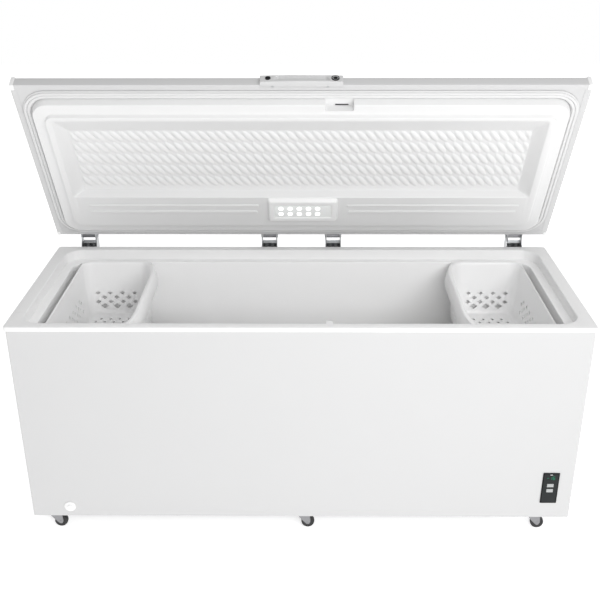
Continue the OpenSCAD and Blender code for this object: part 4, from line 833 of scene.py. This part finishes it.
# %% Wheels and forks
WR, TRAIL, BOSS = 23.0, 22.0, UNDER_Z - 5
arc = np.radians(np.linspace(-60, 60, 9))
tread = np.stack([WR - 3.2 + 3.2 * np.cos(arc), 9.0 * np.sin(arc) / math.sin(math.radians(60)) * 0.97], 1)
tyre = [(15.6, -8.6), (18.5, -9.0), *tread.tolist(), (18.5, 9.0), (15.6, 8.6)]
hub = [(3.2, -8.8), (6.0, -8.8), (7.0, -7.0), (13.4, -6.0), (14.6, -7.9), (15.7, -7.9), (15.7, 7.9), (14.6, 7.9),
       (13.4, 6.0), (7.0, 7.0), (6.0, 8.8), (3.2, 8.8)]
fork_side = [(-9, BOSS - 1.6), (-10, BOSS - 10), (4, 30), (TRAIL - 8, WR - 4), (TRAIL - 3, WR - 8.5),
             (TRAIL + 4, WR - 8), (TRAIL + 8.5, WR), (TRAIL + 9, WR + 8), (TRAIL + 7, BOSS - 6),
             (TRAIL + 5, BOSS - 1.6)]
for number, (x, y) in enumerate(CASTERS, 1):
    at = (x + TRAIL, y, WR)
    wheel = merge(lathe(hub, at, (0, 1, 0), 32))
    put(f"caster hub {number}", wheel, M["hub"], f"caster_wheel_{number}", "tyre_black", f"caster_wheel_{number}")
    points, faces = lathe(tyre, at, (0, 1, 0), 48)
    put(f"caster tyre {number}", (points, faces), M["tyre"], f"caster_wheel_{number}", "tyre_black")
    fork = [lathe([(0.01, BOSS - 4.2), (12, BOSS - 4.2), (13, BOSS - 3.4), (13, BOSS - 0.5), (0.01, BOSS - 0.5)],
                  (x, y, 0), (0, 0, 1), 32),
            block(x, x + TRAIL + 5, y - 12, y + 12, BOSS - 4, BOSS - 1.5, r=2, e=0.5),
            lathe([(0.01, -13), (4.6, -13), (5.0, -12), (5.0, 12), (4.6, 13), (0.01, 13)], at, (0, 1, 0), 20)]
    for y0 in (y - 12, y + 9.5):
        fork.append(plate(np.array(fork_side) + (x, 0), y0, y0 + 2.5, 1))
    put(f"caster fork {number}", merge(*fork), M["spring"], f"caster_fork_{number}", "zinc_steel",
        f"caster_fork_{number}", bevel=0.6)
print("casters:", len(CASTERS))

# %% [markdown]
# ## Controls and drain
# A black panel low at the right carries a small green display and two grey keys. A round fitting at the left is
# the outlet of the defrost drain.

# %% Control panel
CX, PZ = 847.0, UNDER_Z + 61


def upright(x0, x1, z0, z1, d0, d1, r=1.0, e=0.3):
    """A rounded block standing on the front face, from depth d0 to d1 in front of it."""
    p, f = block(x0, x1, z0, z1, d0, d1, r=r, e=e)
    return np.stack([p[:, 0], BODY_FRONT - p[:, 2], p[:, 1]], 1), f


bezel = merge(upright(CX - 28, CX + 28, PZ, PZ + 123, 0, 2.5, r=3, e=1.0),
              upright(CX - 26, CX + 26, PZ + 2, PZ + 121, -12, 1, r=2))
put("control bezel", bezel, M["black"], "cabinet", "black_plastic", "control_bezel")
put("control face", upright(CX - 24, CX + 24, PZ + 4, PZ + 119, 2.2, 2.62, r=2, e=0.2), M["screen"], "cabinet",
    "display_glass", "control_display")
KEYS = {"upper_button": PZ + 73, "lower_button": PZ + 52}
for node, z in KEYS.items():
    put(node.replace("_", " "), upright(CX - 11, CX + 11, z - 6.5, z + 6.5, -1.0, 3.9, r=1.5, e=0.6), M["key"], node,
        "grey_plastic", node)


def digit(x, z, w, h, lit):
    """One seven-segment figure from its lit segments: bars of a fifth of the width."""
    t = w / 5
    seg = {"a": (x, x + w, z + h - t, z + h), "g": (x, x + w, z + h / 2 - t / 2, z + h / 2 + t / 2),
           "d": (x, x + w, z, z + t), "f": (x, x + t, z + h / 2, z + h), "e": (x, x + t, z, z + h / 2),
           "b": (x + w - t, x + w, z + h / 2, z + h), "c": (x + w - t, x + w, z, z + h / 2)}
    return [upright(*seg[k], 2.5, 2.85, r=0.4, e=0.1) for k in lit]


figures = []
for x, lit in ((CX - 14, "g"), (CX - 4, "bc"), (CX + 6, "afedcg")):
    figures += digit(x, PZ + 96, 7, 13, lit)
put("display figures", merge(*figures), M["digits"], "cabinet", "display_glass")
put("display mark", upright(CX - 4, CX + 4, PZ + 114.5, PZ + 116.5, 2.5, 2.8, r=0.8, e=0.1), M["mark"], "cabinet",
    "display_glass")

# %% Drain fitting and plug
DX, DZ = -794.0, UNDER_Z + 39
disc = [(5.4, 6.8), (7.2, 7.2), (8.2, 6.6), (8.8, 3.9), (10.5, 3.2), (16.8, 3.2), (18.6, 2.6), (19.8, 1.0), (20, 0),
        (5.4, 0)]
put("drain fitting", lathe([(r, -h) for r, h in disc[::-1]], (DX, BODY_FRONT, DZ), (0, 1, 0), 48), M["trim"],
    "cabinet", "white_trim", "drain_escutcheon")
# The drain mouth is a dark disc a little inside the fitting's bore: painted shade for the hole.
put("drain mouth painted shade", lathe([(0.01, 2.0), (5.6, 2.0), (5.6, 1.0), (0.01, 1.0)], (DX, BODY_FRONT - 4, DZ), (0, 1, 0), 24),
    M["painted hole shade"], "cabinet", "clear_hose")
stopper = [(0.01, -10), (8, -10), (9.9, -8), (9.9, 0.1), (16, 0.1), (17, 0.8), (17, 2.2), (16, 3), (6, 4), (5, 5),
           (5, 11), (4, 12), (0.01, 12)]
put("drain stopper", lathe(stopper, (DX, TUB[2] + 70, FLOOR_Z), (0, 0, 1), 36), M["trim"], "drain_plug", "white_trim",
    "drain_plug")

# %% [markdown]
# ## Floor, light and camera
# A pale floor, a white surround and one large soft light in front, a little to the right. The surround is plain
# white where it is seen, and its light on the freezer is weaker, so that white sheets still stand out from it.

# %% Stage
ground = bpy.data.meshes.new("floor")
ground.from_pydata([(-9, -7, 0), (9, -7, 0), (9, 9, 0), (-9, 9, 0)], [], [(0, 1, 2, 3)])
ground_obj = bpy.data.objects.new("studio_floor", ground)
bpy.context.scene.collection.objects.link(ground_obj)
pale = finish("pale floor", (0.80, 0.80, 0.80), 0.9, fine=30, bump=0.0, amount=0.01)
ground.materials.append(glow(pale, (1, 1, 1), 0.66))


def studio(low, high, right):
    """World light by direction: from low at the horizon to high overhead, and stronger towards +x by right."""
    world = bpy.data.worlds.new("studio")
    world.use_nodes = True
    n, link = world.node_tree.nodes, world.node_tree.links.new
    coords, split = n.new("ShaderNodeTexCoord"), n.new("ShaderNodeSeparateXYZ")
    link(coords.outputs["Generated"], split.inputs[0])
    rise = n.new("ShaderNodeMapRange")
    rise.inputs["From Min"].default_value, rise.inputs["From Max"].default_value = 0.0, 0.9
    rise.inputs["To Min"].default_value, rise.inputs["To Max"].default_value = low, high
    link(split.outputs["Z"], rise.inputs["Value"])
    side = math_node(world.node_tree, "MULTIPLY_ADD", split.outputs["X"], right, rise.outputs["Result"])
    link(side.outputs[0], n["Background"].inputs["Strength"])
    n["Background"].inputs["Color"].default_value = (1, 1, 1, 1)
    seen, paper, mix = n.new("ShaderNodeLightPath"), n.new("ShaderNodeBackground"), n.new("ShaderNodeMixShader")
    link(seen.outputs["Is Camera Ray"], mix.inputs["Fac"])
    link(n["Background"].outputs[0], mix.inputs[1])
    link(paper.outputs[0], mix.inputs[2])
    paper.inputs["Color"].default_value = (1, 1, 1, 1)
    link(mix.outputs[0], n["World Output"].inputs["Surface"])
    return world


bpy.context.scene.world = studio(0.64, 0.62, 0.08)


def lamp(name, at, target, size, power):
    """A rectangular soft light at a place, turned so that its face looks at the target."""
    data = bpy.data.lights.new(name, "AREA")
    data.shape, data.size, data.size_y, data.energy = "RECTANGLE", size[0], size[1], power
    obj = bpy.data.objects.new(name, data)
    obj.location = at
    obj.rotation_euler = (Vector(target) - Vector(at)).to_track_quat("-Z", "Y").to_euler()
    bpy.context.scene.collection.objects.link(obj)
    return obj


lamp("key softbox", (1.2, -3.1, 2.3), (0.0, 0.25, 0.8), (2.4, 1.0), 60)

# %% Camera
PITCH, YAW, ROLL = (math.radians(v) for v in (24.62, 0.53, -0.15))
LENS, SENSOR = 52.806, 36.0
STAND_AT = (0.0236, (FRONT - 2453.0) / 1000, (RIM_Z + 1219.4) / 1000)
cy, sy, cp, sp = math.cos(YAW), math.sin(YAW), math.cos(PITCH), math.sin(PITCH)
ex, ey, ez = np.array([cy, sy, 0]), np.array([-sy, cy, 0]), np.array([0, 0, 1.0])
ahead, up = ey * cp - ez * sp, ey * sp + ez * cp
right_v = math.cos(ROLL) * ex + math.sin(ROLL) * up
up_v = -math.sin(ROLL) * ex + math.cos(ROLL) * up
cam_data = bpy.data.cameras.new("camera")
cam_data.lens, cam_data.sensor_width = LENS, SENSOR
camera = bpy.data.objects.new("camera", cam_data)
bpy.context.scene.collection.objects.link(camera)
place = Matrix([[right_v[i], up_v[i], -ahead[i], 0] for i in range(3)] + [[0, 0, 0, 1]])
place.translation = STAND_AT
camera.matrix_world = place
bpy.context.scene.camera = camera
bpy.context.scene.view_settings.view_transform = "Standard"

bpy.context.view_layer.update()
